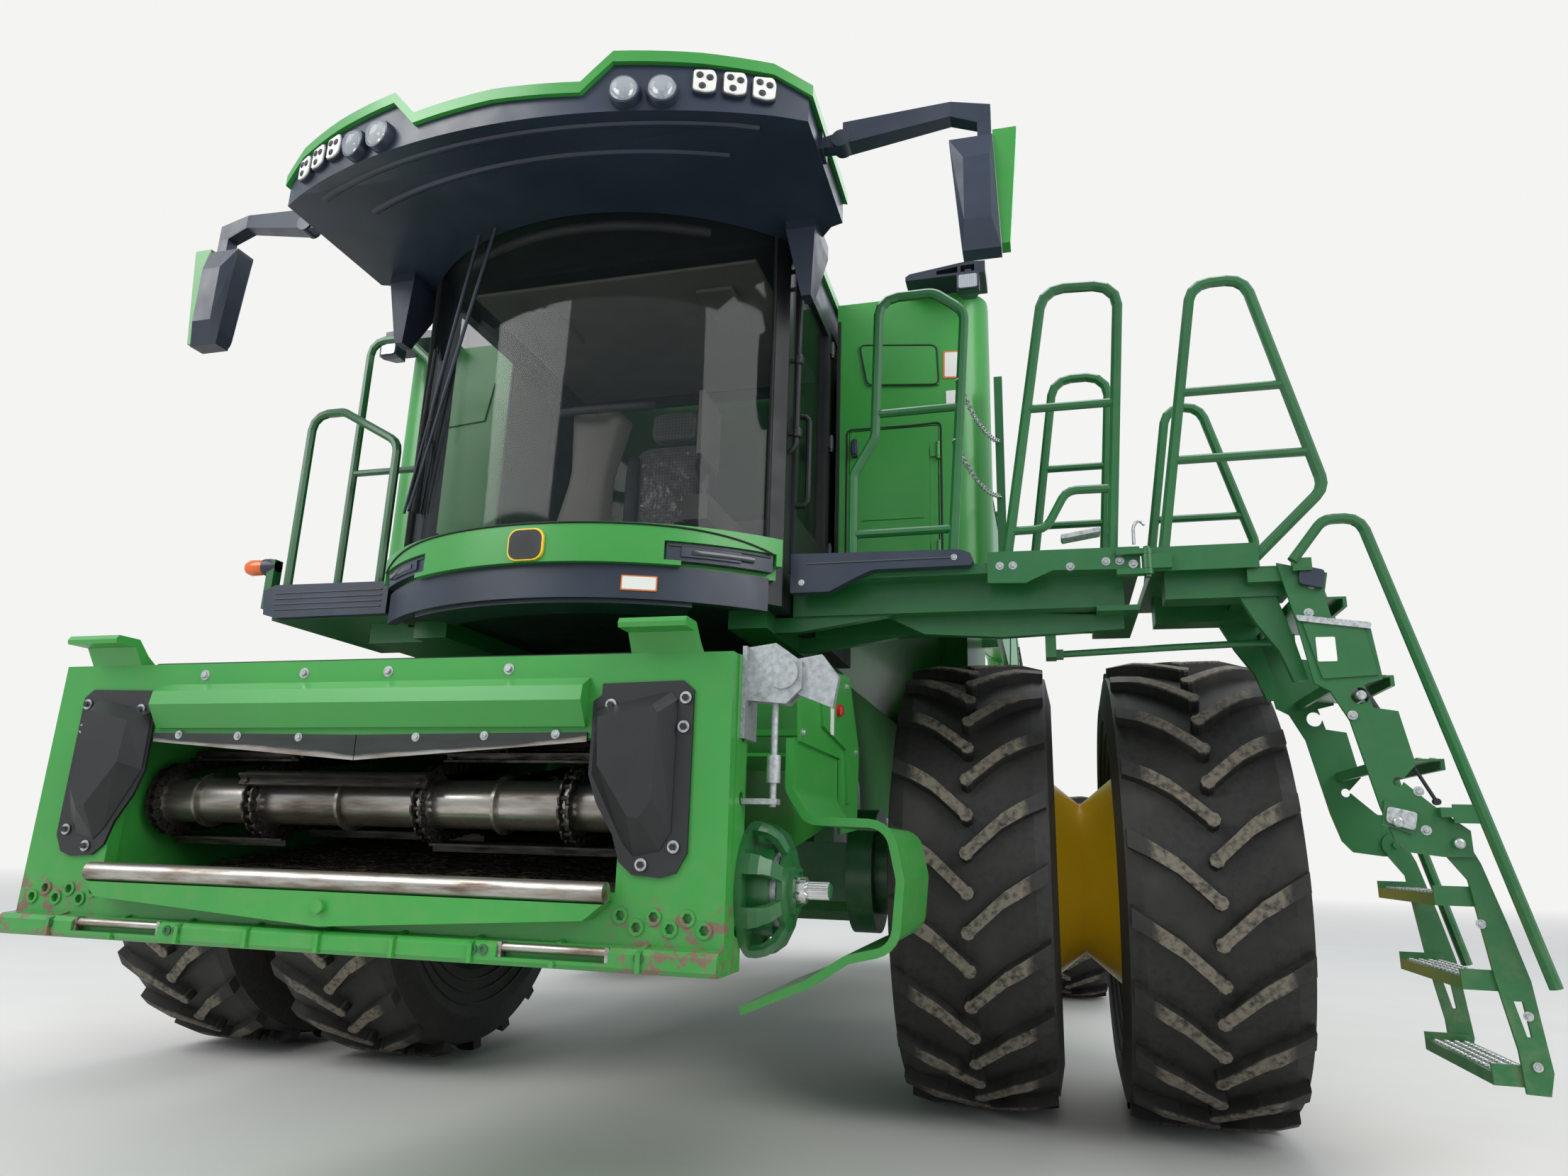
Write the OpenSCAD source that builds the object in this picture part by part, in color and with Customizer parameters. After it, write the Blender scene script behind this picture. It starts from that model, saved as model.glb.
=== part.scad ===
// Combine harvester without its header, front towards -Y, ground at Z = 0.
// The front axle is the working origin; place() moves the whole machine so that
// the middle of its bounding box stands on the origin.

/* [Layout] */
// Distance from the front axle to the rear axle
wheelbase = 3950; // [3600:10:4200]
// Half width over the side panels
body_half_w = 1640; // [1600:5:1680]

/* [Front wheels] */
// Radius over the lugs
front_r = 1027; // [980:1:1060]
// Section width of a tyre
front_w = 700; // [620:5:720]
// Bead radius of the rim
front_bead_r = 533; // [500:1:560]
// Height of a lug above the carcass
front_lug_h = 58; // [45:1:65]
// Lugs in one row
front_lugs = 21; // [18:1:24]
// Middle of the inner tyre from the centreline
inner_x = 1521; // [1500:1:1560]
// Distance between the twin tyres
dual_gap = 933; // [860:1:960]

/* [Rear wheels] */
// Radius over the lugs
rear_r = 810; // [760:1:840]
// Section width of a tyre
rear_w = 660; // [560:5:680]
// Bead radius of the rim
rear_bead_r = 406; // [380:1:420]
// Height of a lug above the carcass
rear_lug_h = 45; // [35:1:52]
// Lugs in one row
rear_lugs = 19; // [16:1:22]
// Middle of the tyre from the centreline
rear_x = 1920; // [1850:5:1950]
// Steering pin from the centreline
kingpin_x = 1450; // [1400:5:1480]

/* [Feeder house] */
// Front face of the feeder
feeder_face_y = -2790; // [-2900:5:-2700]
// Half width of the face plate
face_half_w = 1095; // [1060:5:1120]
// Bottom of the face plate
face_low_z = 830; // [800:5:860]
// Top of the face plate
face_top_z = 1615; // [1580:5:1640]
// Half width of the mouth
mouth_half_w = 805; // [760:5:820]
// Lower edge of the mouth
mouth_low_z = 1010; // [980:5:1040]
// Upper edge of the mouth
mouth_top_z = 1400; // [1360:5:1440]
// Half width of the tunnel
tunnel_half_w = 850; // [820:5:880]
// Lift axis behind the face
lift_y = -420; // [-480:5:-400]
// Height of the lift axis
lift_z = 1700; // [1680:5:1740]
// Radius of the drum
drum_r = 68; // [55:1:80]

/* [Cab] */
// Half width of the cab
cab_half_w = 870; // [840:5:900]
// Front of the windscreen on the centreline
screen_y = -1930; // [-1960:5:-1900]
// Front corners of the cab
corner_y = -1540; // [-1570:5:-1500]
// Rear wall of the cab
cab_rear_y = -150; // [-200:5:-100]
// Underside of the cab floor
floor_z = 2040; // [2000:5:2080]
// Lower edge of the windscreen
screen_low_z = 2290; // [2250:5:2320]
// Thickness of the cab walls
cab_wall = 50; // [40:1:70]
// Thickness of the glass
glass_t = 8; // [5:1:12]
// Half width of the roof
roof_half_w = 1130; // [1100:5:1160]
// Front edge of the roof on the centreline
roof_front_y = -2540; // [-2600:5:-2500]
// Crest of the lamp pods
roof_top_z = 3870; // [3840:5:3900]

/* [Body] */
// Walkway height
deck_z = 2190; // [2150:5:2220]
// Front panels beside the cab
bulkhead_y = -750; // [-800:5:-700]
// Top of the front panels
bulkhead_top_z = 3800; // [3700:10:3850]
// Thickness of the sheet panels
panel_t = 30; // [20:1:40]
// Half width of the grain tank
tank_half_w = 1080; // [1000:10:1090]
// Front of the grain tank
tank_front_y = 0; // [-50:10:50]
// Rear of the grain tank
tank_rear_y = 2700; // [2600:10:2800]
// Top of the grain tank
tank_top_z = 3700; // [3600:10:3740]
// Half width of the rear hood
hood_half_w = 850; // [820:10:880]
// Rear end of the hood
hood_rear_y = 6050; // [5900:10:6200]

/* [Unloading auger] */
// Radius of the auger tube
auger_r = 200; // [180:5:205]
// Swing axis behind the front axle
auger_y = 420; // [350:10:500]
// Height of the folded tube's middle
auger_z = 3540; // [3400:10:3560]
// Length of the tube from the swing axis
auger_len = 6900; // [6000:50:7200]

/* [Walkway and ladder] */
// Front edge of the walkway
deck_front_y = -1500; // [-1520:5:-1450]
// Rear edge of the walkway
deck_rear_y = -745; // [-760:5:-720]
// End of the fixed walkway
deck_end_x = 2205; // [2150:5:2220]
// Start of the swinging platform
swing_x = 2250; // [2230:5:2280]
// End of the swinging platform
swing_end_x = 2600; // [2560:5:2640]
// Radius of the rail tubes
rail_r = 19; // [15:1:22]
// Height of the rails
rail_top_z = 3330; // [3250:5:3400]
// Height of the fold axis of the lower ladder
fold_z = 1200; // [1150:5:1260]

/* [Hidden] */
$fn = 48;
eps = 0.3;

green = "#2f7a34";
dark_green = "#245f29";
yellow = "#e0b51c";
black = "#1c1d1e";
dark = "#2b2d2e";
steel = "#8d9092";
tyre_black = "#222324";
glass_tint = "#3c4a4d";
amber = "#e07818";

screen_r = (pow(cab_half_w, 2) + pow(corner_y - screen_y, 2)) / (2 * (corner_y - screen_y));
screen_c = screen_y + screen_r;
tip_y = -2260;
// upper edge of the windscreen, from the roof above it
screen_top_z = roof_top_z - 180;
// swing axis of the unloading auger beside the tank
auger_x = tank_half_w + 230;
roof_r = (pow(roof_half_w, 2) + pow(tip_y - roof_front_y, 2)) / (2 * (tip_y - roof_front_y));
roof_c = roof_front_y + roof_r;
outer_x = inner_x + dual_gap;
meet_x = inner_x + dual_gap / 2;
// middle of the bounding box from the front axle's centre: ladder to tyres, saddles to auger end
box_mid_x = (3308.5 - (outer_x + front_w / 2)) / 2;
box_mid_y = (auger_y + auger_len - 150 + feeder_face_y - 100) / 2;

module place() translate([-box_mid_x, -box_mid_y, 0]) children();

// Prism of an outline in the YZ plane, from x0 to x1
module along_x(x0, x1) translate([x0, 0, 0]) rotate([90, 0, 90]) linear_extrude(x1 - x0) children();
// Prism of an outline in the XZ plane, from y0 to y1
module along_y(y0, y1) translate([0, y1, 0]) rotate([90, 0, 0]) linear_extrude(y1 - y0) children();
// Box between two corners
module block(a, b) translate(a) cube(b - a);
module both() { children(); mirror([1, 0, 0]) children(); }

// Round rod from a to b
module rod(a, b, r) {
    d = b - a;
    translate(a) rotate([0, acos(d[2] / norm(d)), atan2(d[1], d[0])]) cylinder(h = norm(d), r = r);
}

// Tube of flat sides along a plane path with rounded corners; across points out of that plane
function unit(v) = v / norm(v);
function corner(a, p, b, r, n) = let (u = unit(p - a), v = unit(b - p), turn = acos(u * v),
    c = p + unit(v - u) * r / cos(turn / 2), s = p - u * r * tan(turn / 2) - c)
    [for (i = [0 : n]) let (k = turn * i / n) c + s * cos(k) + u * (r * sin(k))];
function rounded(path, r, n = 3) = [path[0], for (i = [1 : 1 : len(path) - 2])
    each corner(path[i - 1], path[i], path[i + 1], r, n), path[len(path) - 1]];
module tube(path, r, bend = 80, across = [0, 1, 0], sides = 8) {
    q = len(path) > 2 ? rounded(path, bend) : path;
    m = len(q);
    points = [for (i = [0 : m - 1])
        let (v = unit(q[min(i + 1, m - 1)] - q[min(i, m - 2)]), u = i > 0 ? unit(q[i] - q[i - 1]) : v,
            t = unit(u + v), x = unit(cross(across, t)) / sqrt((1 + u * v) / 2), z = unit(cross(t, cross(across, t))))
        for (k = [0 : sides - 1]) let (a = 360 * (k + 0.5) / sides)
            q[i] + (x * cos(a) + z * sin(a)) * r / cos(180 / sides)];
    polyhedron(points, [[for (k = [0 : sides - 1]) k],
        for (i = [0 : m - 2]) for (k = [0 : sides - 1]) let (j = (k + 1) % sides)
            [i * sides + k, (i + 1) * sides + k, (i + 1) * sides + j, i * sides + j],
        [for (k = [sides - 1 : -1 : 0]) (m - 1) * sides + k]]);
}

// Tyre round the X axis: carcass with two staggered rows of slanted, bent lugs cut to the crown
module lug(r, w, h, pitch) {
    run = r * pitch * PI / 180;
    // columns: share of the tyre's width, lead along the tread in pitches, half breadth in pitches
    stations = [[0.0, -0.42, 0.098], [0.2, 0.0, 0.1], [0.34, 0.2, 0.108], [0.452, 0.34, 0.12]];
    rotate([pitch / 2, 0, 0]) translate([0, 0, r - h * 1.7]) linear_extrude(h * 1.7 + 0.02 * r) union() {
        polygon([for (s = stations) [s[0] * w, (s[1] + s[2]) * run],
            for (i = [3, 2, 1, 0]) [stations[i][0] * w, (stations[i][1] - stations[i][2]) * run]]);
        translate([stations[0][0] * w, stations[0][1] * run]) rotate(40) circle(r = 0.092 * run, $fn = 8);
    }
}
module tyre(x, r, w, bead, h, count) {
    pitch = 360 / count;
    translate([x, 0, r]) {
        rotate([0, 90, 0]) rotate_extrude()
            polygon([[bead, -w * 0.36], [bead + (r - bead) * 0.12, -w * 0.42], [r * 0.8, -w / 2], [r - h * 1.3, -w * 0.465],
                [r - h, -w * 0.38], [r - h, w * 0.38], [r - h * 1.3, w * 0.465], [r * 0.8, w / 2],
                [bead + (r - bead) * 0.12, w * 0.42], [bead, w * 0.36]]);
        intersection() {
            for (i = [0 : count - 1]) {
                rotate([i * pitch, 0, 0]) lug(r, w, h, pitch);
                rotate([(i + 0.5) * pitch, 0, 0]) mirror([1, 0, 0]) lug(r, w, h, pitch);
            }
            rotate([0, 90, 0]) rotate_extrude()
                polygon([[bead, -w * 0.47], [r - h * 0.5, -w * 0.47], [r, -w * 0.28], [r, w * 0.28],
                    [r - h * 0.5, w * 0.47], [bead, w * 0.47]]);
        }
    }
}
module front_tyres() {
    tyre(inner_x, front_r, front_w, front_bead_r, front_lug_h, front_lugs);
    tyre(outer_x, front_r, front_w, front_bead_r, front_lug_h, front_lugs);
}

// Dished twin rims that meet between the tyres, hub towards the machine
module front_rims() {
    b = front_bead_r - eps;
    half = front_w * 0.36;
    neck = 340;
    reach = dual_gap / 2;
    module rim_half(side) {
        // outline of barrel and cone, distance from the tyre's middle towards the meeting plane
        rotate([0, 90 * side, 0]) rotate_extrude()
            polygon([[b, -half], [b, half], [b - 30, half + 20], [neck, reach], [neck - 14, reach],
                [b - 50, half - 5], [b - 26, half - 60], [b - 14, -half]]);
    }
    translate([inner_x, 0, front_r]) rim_half(1);
    translate([outer_x, 0, front_r]) rim_half(-1);
    translate([meet_x - 12, 0, front_r]) rotate([0, 90, 0]) cylinder(h = 24, r = neck - 10);
    translate([inner_x - 300, 0, front_r]) rotate([0, 90, 0]) cylinder(h = meet_x - inner_x + 400, r = 150);
    for (i = [0 : 9]) translate([meet_x + 10, 0, front_r]) rotate([i * 36, 0, 0])
        translate([0, 0, 215]) rotate([0, 90, 0]) cylinder(h = 45, r = 17, $fn = 6);
}
module rear_rim() {
    b = rear_bead_r - eps;
    half = rear_w * 0.36;
    translate([rear_x, 0, rear_r]) {
        rotate([0, 90, 0]) rotate_extrude()
            polygon([[b, -half], [b, half], [b - 14, half], [b - 40, half - 60], [b - 60, 20], [180, -60],
                [0, -60], [0, -85], [185, -85], [b - 75, 0], [b - 50, -60], [b - 14, -half]]);
        translate([-150, 0, 0]) rotate([0, 90, 0]) cylinder(h = 160, r = 130);
        for (i = [0 : 7]) rotate([i * 45, 0, 0]) translate([-62, 0, 160]) rotate([0, 90, 0])
            cylinder(h = 30, r = 15, $fn = 6);
    }
}

module chassis_frame() color(dark_green) place() {
    both() {
        along_x(700, 800) polygon([[-180, 1160 + eps], [-180, 1330], [4300, 1330], [4300, 1200], [3500, 1180],
            [700, 900], [180, 880], [131, 1160 + eps]]);
        // beams that carry the cab, standing on the separator
        along_x(640, 800) polygon([[-1500, 1965], [-205, 1965], [-205, sep_top_z + eps], [-10, sep_top_z + eps],
            [-10, floor_z - eps], [-1500, floor_z - eps]]);
    }
    block([-720, wheelbase - 100, 1200 + eps], [720, wheelbase + 100, 1320]);
    // plates and pins of the feeder's lift axis
    both() {
        along_x(855, 884) polygon([[-125, front_r + 133 + eps], [125, front_r + 133 + eps], [60, 1450], [-370, 1760], [-470, 1760],
            [-480, 1650], [-200, 1400]]);
        along_x(818, 884) translate([lift_y, lift_z]) circle(24.95);
    }
    // drawbar at the rear
    difference() {
        block([-60, wheelbase + 100, 1225], [60, hitch_y + 50, 1295]);
        translate([0, hitch_y, 1200]) cylinder(h = 120, r = 17.5);
    }
}
hitch_y = 4760;
module front_axle() color(dark_green) place() {
    block([-900, -130, front_r - 150], [900, 130, front_r + 133]);
    both() {
        translate([885, 0, front_r]) rotate([0, 90, 0]) cylinder(h = 125, r = 300);
        translate([1000, 0, front_r]) rotate([0, 90, 0]) cylinder(h = 110, r = 210);
        translate([1105, 0, front_r]) rotate([0, 90, 0]) cylinder(h = inner_x - 300 - 1105 - eps, r = 120);
        // brackets of the lift cylinders
        for (x = [400, 540]) along_x(x - 15, x + 15) difference() {
            polygon([[-130, 760], [-130, 1000], [-200, 960], [-285, 870], [-285, 790], [-200, 760]]);
            translate([lift_base_y, lift_base_z]) circle(25);
        }
    }
}
sep_top_z = 2000;
lift_base_y = -230;
lift_base_z = 830;
lift_eye_y = -1750;
lift_eye_z = 960;
lift_x = 470;
lift_len = norm([lift_eye_y - lift_base_y, lift_eye_z - lift_base_z]);
lift_a = atan2(lift_eye_z - lift_base_z, lift_base_y - lift_eye_y);

module rear_axle() color(dark_green) place() translate([0, wheelbase, 0]) {
    along_y(-110, 110) polygon([[-1330, rear_r - 100], [-1330, rear_r + 100], [-500, rear_r + 220],
        [500, rear_r + 220], [1330, rear_r + 100], [1330, rear_r - 100], [500, rear_r + 20],
        [-500, rear_r + 20]]);
    block([-200, -150, rear_r + 220], [200, 150, 1200]);
    both() for (s = [-1, 1]) translate([0, 0, rear_r + s * 130 - 30])
        linear_extrude(60) difference() {
            union() { translate([kingpin_x, 0]) circle(75); translate([1250, -75]) square([kingpin_x - 1250, 150]); }
            translate([kingpin_x, 0]) circle(28 + eps);
        }
}
module knuckle() translate([0, wheelbase, 0]) {
    translate([kingpin_x, 0, rear_r - 170]) cylinder(h = 340, r = 28);
    translate([kingpin_x - 70, -70, rear_r - 99.5]) cube([150, 140, 199]);
    translate([kingpin_x + 70, 0, rear_r]) rotate([0, 90, 0]) cylinder(h = rear_x - 150 - kingpin_x - 70 - eps, r = 75);
    block([kingpin_x - 40, 60, rear_r - 25], [kingpin_x + 20, 260, rear_r + 15]);
}
module knuckle_left() color(dark_green) place() knuckle();
module knuckle_right() color(dark_green) place() mirror([1, 0, 0]) knuckle();

module separator_body() color(green) place() {
    along_x(-800, 800) polygon([[-200, 1330 + eps], [-200, sep_top_z], [hood_front_y, sep_top_z], [hood_front_y, 1330 + eps]]);
    along_x(-699, 699) polygon([[300, 1340], [700, 780], [1150, 700], [1600, 760], [1750, 700], [2150, 700],
        [2400, 860], [3500, 1090], [3500, 1340]]);
}
hood_front_y = 4950;
module engine() color(dark) place() block([-420, 3150, sep_top_z + 41], [420, 4350, 3050]);

tank_wall = 40;
module grain_tank() color(green) place() {
    both() hinge_pins(tank_half_w + 25, tank_top_z - 15, tank_hinges) translate([tank_half_w - 5, tank_top_z - 29]) square([30, 28]);
    tank_shell();
}
module tank_shell() difference() {
    along_y(tank_front_y, tank_rear_y) polygon([[-tank_half_w, 2650], [-tank_half_w, tank_top_z],
        [tank_half_w, tank_top_z], [tank_half_w, 2650], [600, sep_top_z + eps], [-600, sep_top_z + eps]]);
    along_y(tank_front_y + tank_wall, tank_rear_y - tank_wall)
        polygon([[-tank_half_w + tank_wall, 2670], [-tank_half_w + tank_wall, tank_top_z + 10],
        [tank_half_w - tank_wall, tank_top_z + 10], [tank_half_w - tank_wall, 2670], [585, 2050], [-585, 2050]]);
}
// Hinges along Y at distances from the centreline: pins with ears on the fixed side, ringed arms on the moving one
hinge_len = 60;
tank_hinges = [200, 1300, 2400];
shield_hinges = [0, 1200, 2300];
module hinge_pins(x, z, list) for (y = list) {
    along_y(y - 12, y + hinge_len + 12) translate([x, z]) circle(9.95);
    for (e = [y - 12, y + hinge_len + 1]) along_y(e, e + 11) union() { translate([x, z]) circle(14); children(); }
}
module hinge_arm(x, z, list) for (y = list) along_y(y + 0.5, y + hinge_len - 0.5) difference() {
    union() { translate([x, z]) { circle(18); children(); } }
    translate([x, z]) circle(10);
}
module tank_cover(gap = 6) {
    hinge_arm(tank_half_w + 25, tank_top_z - 15, tank_hinges) polygon([[-17, 8], [-1, 8], [-1, 36], [-17, 36]]);
    along_y(tank_front_y + 10, tank_rear_y - 5) polygon([[gap / 2, tank_top_z + 150], [gap / 2, tank_top_z + 180],
        [tank_half_w - 100, tank_top_z + 70], [tank_half_w + 20, tank_top_z + 25], [tank_half_w + 20, tank_top_z + 5],
        [tank_half_w - 100, tank_top_z + 40]]);
}
module tank_cover_left() color(green) place() tank_cover();
module tank_cover_right() color(green) place() mirror([1, 0, 0]) tank_cover();

// Front sheet beside the cab, its outer edge rounded back into the side
module bulkhead_plan(t) {
    r = 160;
    translate([905, bulkhead_y]) square([body_half_w - r - 905, t]);
    translate([body_half_w - r, bulkhead_y + r]) intersection() {
        difference() { circle(r); circle(r - t); }
        translate([0, -r]) square(r);
    }
    translate([body_half_w - t, bulkhead_y + r]) square([t, 60]);
}
door_x0 = 975;
door_x1 = 1400;
door_z0 = 2330;
door_z1 = 3100;
module bulkhead() {
    translate([0, 0, deck_z + eps]) linear_extrude(bulkhead_top_z - deck_z - eps) bulkhead_plan(panel_t);
    // return sheet between the cab and the tank
    block([905, bulkhead_y + panel_t, deck_z + eps], [905 + panel_t, tank_front_y - eps, bulkhead_top_z]);
    block([905, bulkhead_y + panel_t, bulkhead_top_z - panel_t], [body_half_w - 160, tank_front_y - eps, bulkhead_top_z]);
    // raised upper field
    along_y(bulkhead_y - 10, bulkhead_y) polygon([[1020, 3560], [1400, 3520], [1410, 3310], [1060, 3340]]);
}
module bulkheads() color(green) place() {
    difference() {
        bulkhead();
        block([door_x0 - 5, bulkhead_y - 5, door_z0 - 5], [door_x1 + 5, bulkhead_y + panel_t + 5, door_z1 + 5]);
    }
    mirror([1, 0, 0]) bulkhead();
    // hinge pins of the service door
    for (z = service_hinges) {
        translate([door_x1 + 2, bulkhead_y - 12, z - 12]) cylinder(h = hinge_len + 24, r = 6.95);
        for (e = [z - 12, z + hinge_len + 1]) {
            translate([door_x1 + 2, bulkhead_y - 12, e]) cylinder(h = 11, r = 10);
            block([door_x1 + 5.5, bulkhead_y - 12, e], [door_x1 + 12, bulkhead_y + 2, e + 11]);
        }
    }
}
service_hinges = [2450, 2940];
module service_door() color(green) place() {
    block([door_x0, bulkhead_y, door_z0], [door_x1, bulkhead_y + 25, door_z1]);
    block([door_x0 + 40, bulkhead_y - 8, door_z0 + 50], [door_x1 - 40, bulkhead_y, door_z1 - 60]);
    for (z = service_hinges) translate([0, 0, z + 0.5]) linear_extrude(hinge_len - 1) difference() {
        union() {
            translate([door_x1 + 2, bulkhead_y - 12]) circle(10);
            translate([door_x1 - 34, bulkhead_y - 11]) square([34, 13]);
        }
        translate([door_x1 + 2, bulkhead_y - 12]) circle(7);
    }
}

module engine_deck() color(green) place() {
    difference() {
        along_y(tank_rear_y + eps, hood_front_y) polygon([[-1250, 2400], [-1250, 3150], [-1150, 3320], [1150, 3320], [1250, 3150],
            [1250, 2400], [900, sep_top_z + eps], [-900, sep_top_z + eps]]);
        along_y(tank_rear_y + 40, hood_front_y - 40) polygon([[-1210, 2440], [-1210, 3130], [-1130, 3280], [1130, 3280], [1210, 3130],
            [1210, 2440], [880, sep_top_z + 40.7], [-880, sep_top_z + 40.7]]);
        block([-1300, 3100, 2600], [-1200, 4500, 3100]);
    }
    // screen frame and slats of the cooling inlet on the right side
    for (i = [0 : 12]) block([-1250, 3100 + i * 110, 2600], [-1225, 3120 + i * 110, 3100]);
    translate([700, 4300, 3300]) cylinder(h = 330, r = 80);
    translate([-500, 3700, 3300]) cylinder(h = 260, r = 170);
    // rest for the folded auger
    block([1100, 4700, 3180], [auger_x + 30, 4760, auger_z - auger_r - 6]);
}
module rear_hood() color(green) place() {
    difference() {
        along_x(-hood_half_w, hood_half_w) polygon([[hood_front_y + eps, 1450], [hood_front_y + eps, 3150], [5300, 3080], [5750, 2760],
            [hood_rear_y, 2200], [hood_rear_y, 1600], [5700, 1350], [hood_front_y + eps, 1350]]);
        along_x(-hood_half_w + 40, hood_half_w - 40) polygon([[hood_front_y + 40, 1300], [hood_front_y + 40, 3105], [5285, 3038], [5720, 2735],
            [hood_rear_y - 40, 2190], [hood_rear_y - 40, 1300]]);
    }
    // drive beam and bosses of the spreader discs
    block([-hood_half_w + 20, 5500, 1420], [hood_half_w - 20, 5620, 1480]);
    both() translate([spreader_x, spreader_y, 1300 + eps]) cylinder(h = 130, r = 60);
}
spreader_x = 400;
spreader_y = 5560;
module spreader(x) translate([x, spreader_y, 0]) {
    translate([0, 0, 1180]) cylinder(h = 20, r = 330);
    for (i = [0 : 3]) rotate([0, 0, i * 90]) translate([60, -8, 1090]) cube([250, 16, 95]);
    translate([0, 0, 1150]) cylinder(h = 150, r = 45);
}
module spreader_left() color(steel) place() spreader(spreader_x);
module spreader_right() color(steel) place() spreader(-spreader_x);

module side_outline() polygon([[-520, 2250], [-520, shield_top_z], [2700, shield_top_z], [5000, 3050], [5600, 2500], [5600, 2050],
    [3200, 1850], [2600, 1250], [1450, 1250], [1180, 2050], [1000, 2250]]);
shield_top_z = 3280;
// Rails along the sides that the panels hang from, with arms to the tank and the engine deck
module side_frames() color(dark_green) place() both() {
    along_y(-560, 4700) polygon([[1500, 3292], [1560, 3292], [1560, 3322], [1500, 3322]]);
    hinge_pins(1582, shield_top_z + 22, shield_hinges) translate([1550, shield_top_z + 13]) square([32, 20]);
    for (y = [150, 1300, 2500]) block([tank_half_w + eps, y, 3200], [1530, y + 50, 3300]);
    for (y = [3300, 4500]) block([1250 + eps, y, 3060], [1540, y + 50, 3140]);
    for (y = [3300, 4500]) block([1500, y, 3100], [1540, y + 50, 3300]);
    block([1500, -560, 3100], [1540, -520, 3300]);
    block([1490, bulkhead_y + panel_t + 11, 3100], [1530, -520, 3160]);
}
module side_shield() {
    r = 4200;
    hinge_arm(1582, shield_top_z + 22, shield_hinges) polygon([[-19, -14], [0, -14], [0, -50], [-26, -50], [-26, -26], [-19, -24]]);
    intersection() {
        along_x(1400, 1700) side_outline();
        along_y(-600, 5700) translate([body_half_w - r, 2500]) difference() { circle(r, $fn = 720); circle(r - panel_t, $fn = 720); }
    }
}
module side_shield_left() color(green) place() side_shield();
module side_shield_right() color(green) place() mirror([1, 0, 0]) side_shield();

module cab_plan(inset) intersection() {
    translate([0, screen_c]) circle(screen_r - inset, $fn = 96);
    translate([-cab_half_w + inset, screen_y - 10]) square([2 * (cab_half_w - inset), cab_rear_y - inset - screen_y + 10]);
}
door_low_z = deck_z + 16;
door_y0 = -1440;
door_y1 = -790;
module cab_shell() color(black) place() {
    difference() {
        translate([0, 0, floor_z]) linear_extrude(screen_top_z + 30 - floor_z) cab_plan(0);
        translate([0, 0, floor_z + 120]) linear_extrude(screen_top_z - 30 - floor_z - 120) cab_plan(cab_wall);
        // windscreen
        translate([0, 0, screen_low_z]) linear_extrude(screen_top_z - screen_low_z) intersection() {
            cab_plan(-5);
            translate([-cab_half_w + 45, screen_y - 20]) square([2 * cab_half_w - 90, corner_y + 25 - screen_y]);
        }
        block([-cab_half_w - 10, -1400, 2480], [-cab_half_w + cab_wall + 10, -350, screen_top_z - 70]);
        block([cab_half_w - cab_wall - 10, door_y0, door_low_z - 6], [cab_half_w + 10, door_y1, screen_top_z - 50]);
        block([-600, cab_rear_y - cab_wall - 10, 2900], [600, cab_rear_y + 10, screen_top_z - 70]);
    }
    // hinge pins of the door
    for (z = cab_hinges) {
        translate([cab_half_w + 17, door_y1, z - 12]) cylinder(h = hinge_len + 24, r = 9.95);
        for (e = [z - 12, z + hinge_len + 1]) {
            translate([cab_half_w + 17, door_y1, e]) cylinder(h = 11, r = 12);
            block([cab_half_w - 10, door_y1, e], [cab_half_w + 17, door_y1 + 12, e + 11]);
        }
    }
}
cab_hinges = [2450, 3000, screen_top_z - 190];
module cab_glass() color(glass_tint) place() {
    translate([0, 0, screen_low_z + eps]) linear_extrude(screen_top_z - screen_low_z - 2 * eps) intersection() {
        difference() {
            translate([0, screen_c]) circle(screen_r - 4, $fn = 96);
            translate([0, screen_c]) circle(screen_r - 4 - glass_t, $fn = 96);
        }
        translate([-cab_half_w + 45 + eps, screen_y - 20]) square([2 * (cab_half_w - 45 - eps), corner_y + 25 - eps - screen_y]);
    }
    block([-cab_half_w + 10, -1400 + eps, 2480 + eps], [-cab_half_w + 18, -350 - eps, screen_top_z - 70 - eps]);
    block([-600 + eps, cab_rear_y - 30, 2900 + eps], [600 - eps, cab_rear_y - 22, screen_top_z - 70 - eps]);
}
module cab_door() color(black) place() {
    difference() {
        block([cab_half_w - 35, door_y0 + 6, door_low_z], [cab_half_w + 12, door_y1 - 6, screen_top_z - 56]);
        block([cab_half_w - 40, door_y0 + 60, floor_z + 420], [cab_half_w + 20, door_y1 - 60, screen_top_z - 110]);
        for (z = cab_hinges) translate([cab_half_w + 17, door_y1, z - 14]) cylinder(h = hinge_len + 28, r = 17);
    }
    for (z = cab_hinges) translate([0, 0, z + 0.5]) linear_extrude(hinge_len - 1) difference() {
        union() {
            translate([cab_half_w + 17, door_y1]) circle(14.5);
            translate([cab_half_w + 4, door_y1 - 34]) square([13, 34]);
        }
        translate([cab_half_w + 17, door_y1]) circle(10);
    }
    tube([[cab_half_w + 12, door_y0 + 40, 2500], [cab_half_w + 60, door_y0 + 40, 2500], [cab_half_w + 60, door_y0 + 40, 2900],
        [cab_half_w + 12, door_y0 + 40, 2900]], 11, 30);
}
module cab_door_glass() color(glass_tint) place()
    block([cab_half_w - 12, door_y0 + 60.5, floor_z + 420.5], [cab_half_w - 4, door_y1 - 60.5, screen_top_z - 110.5]);

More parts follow.
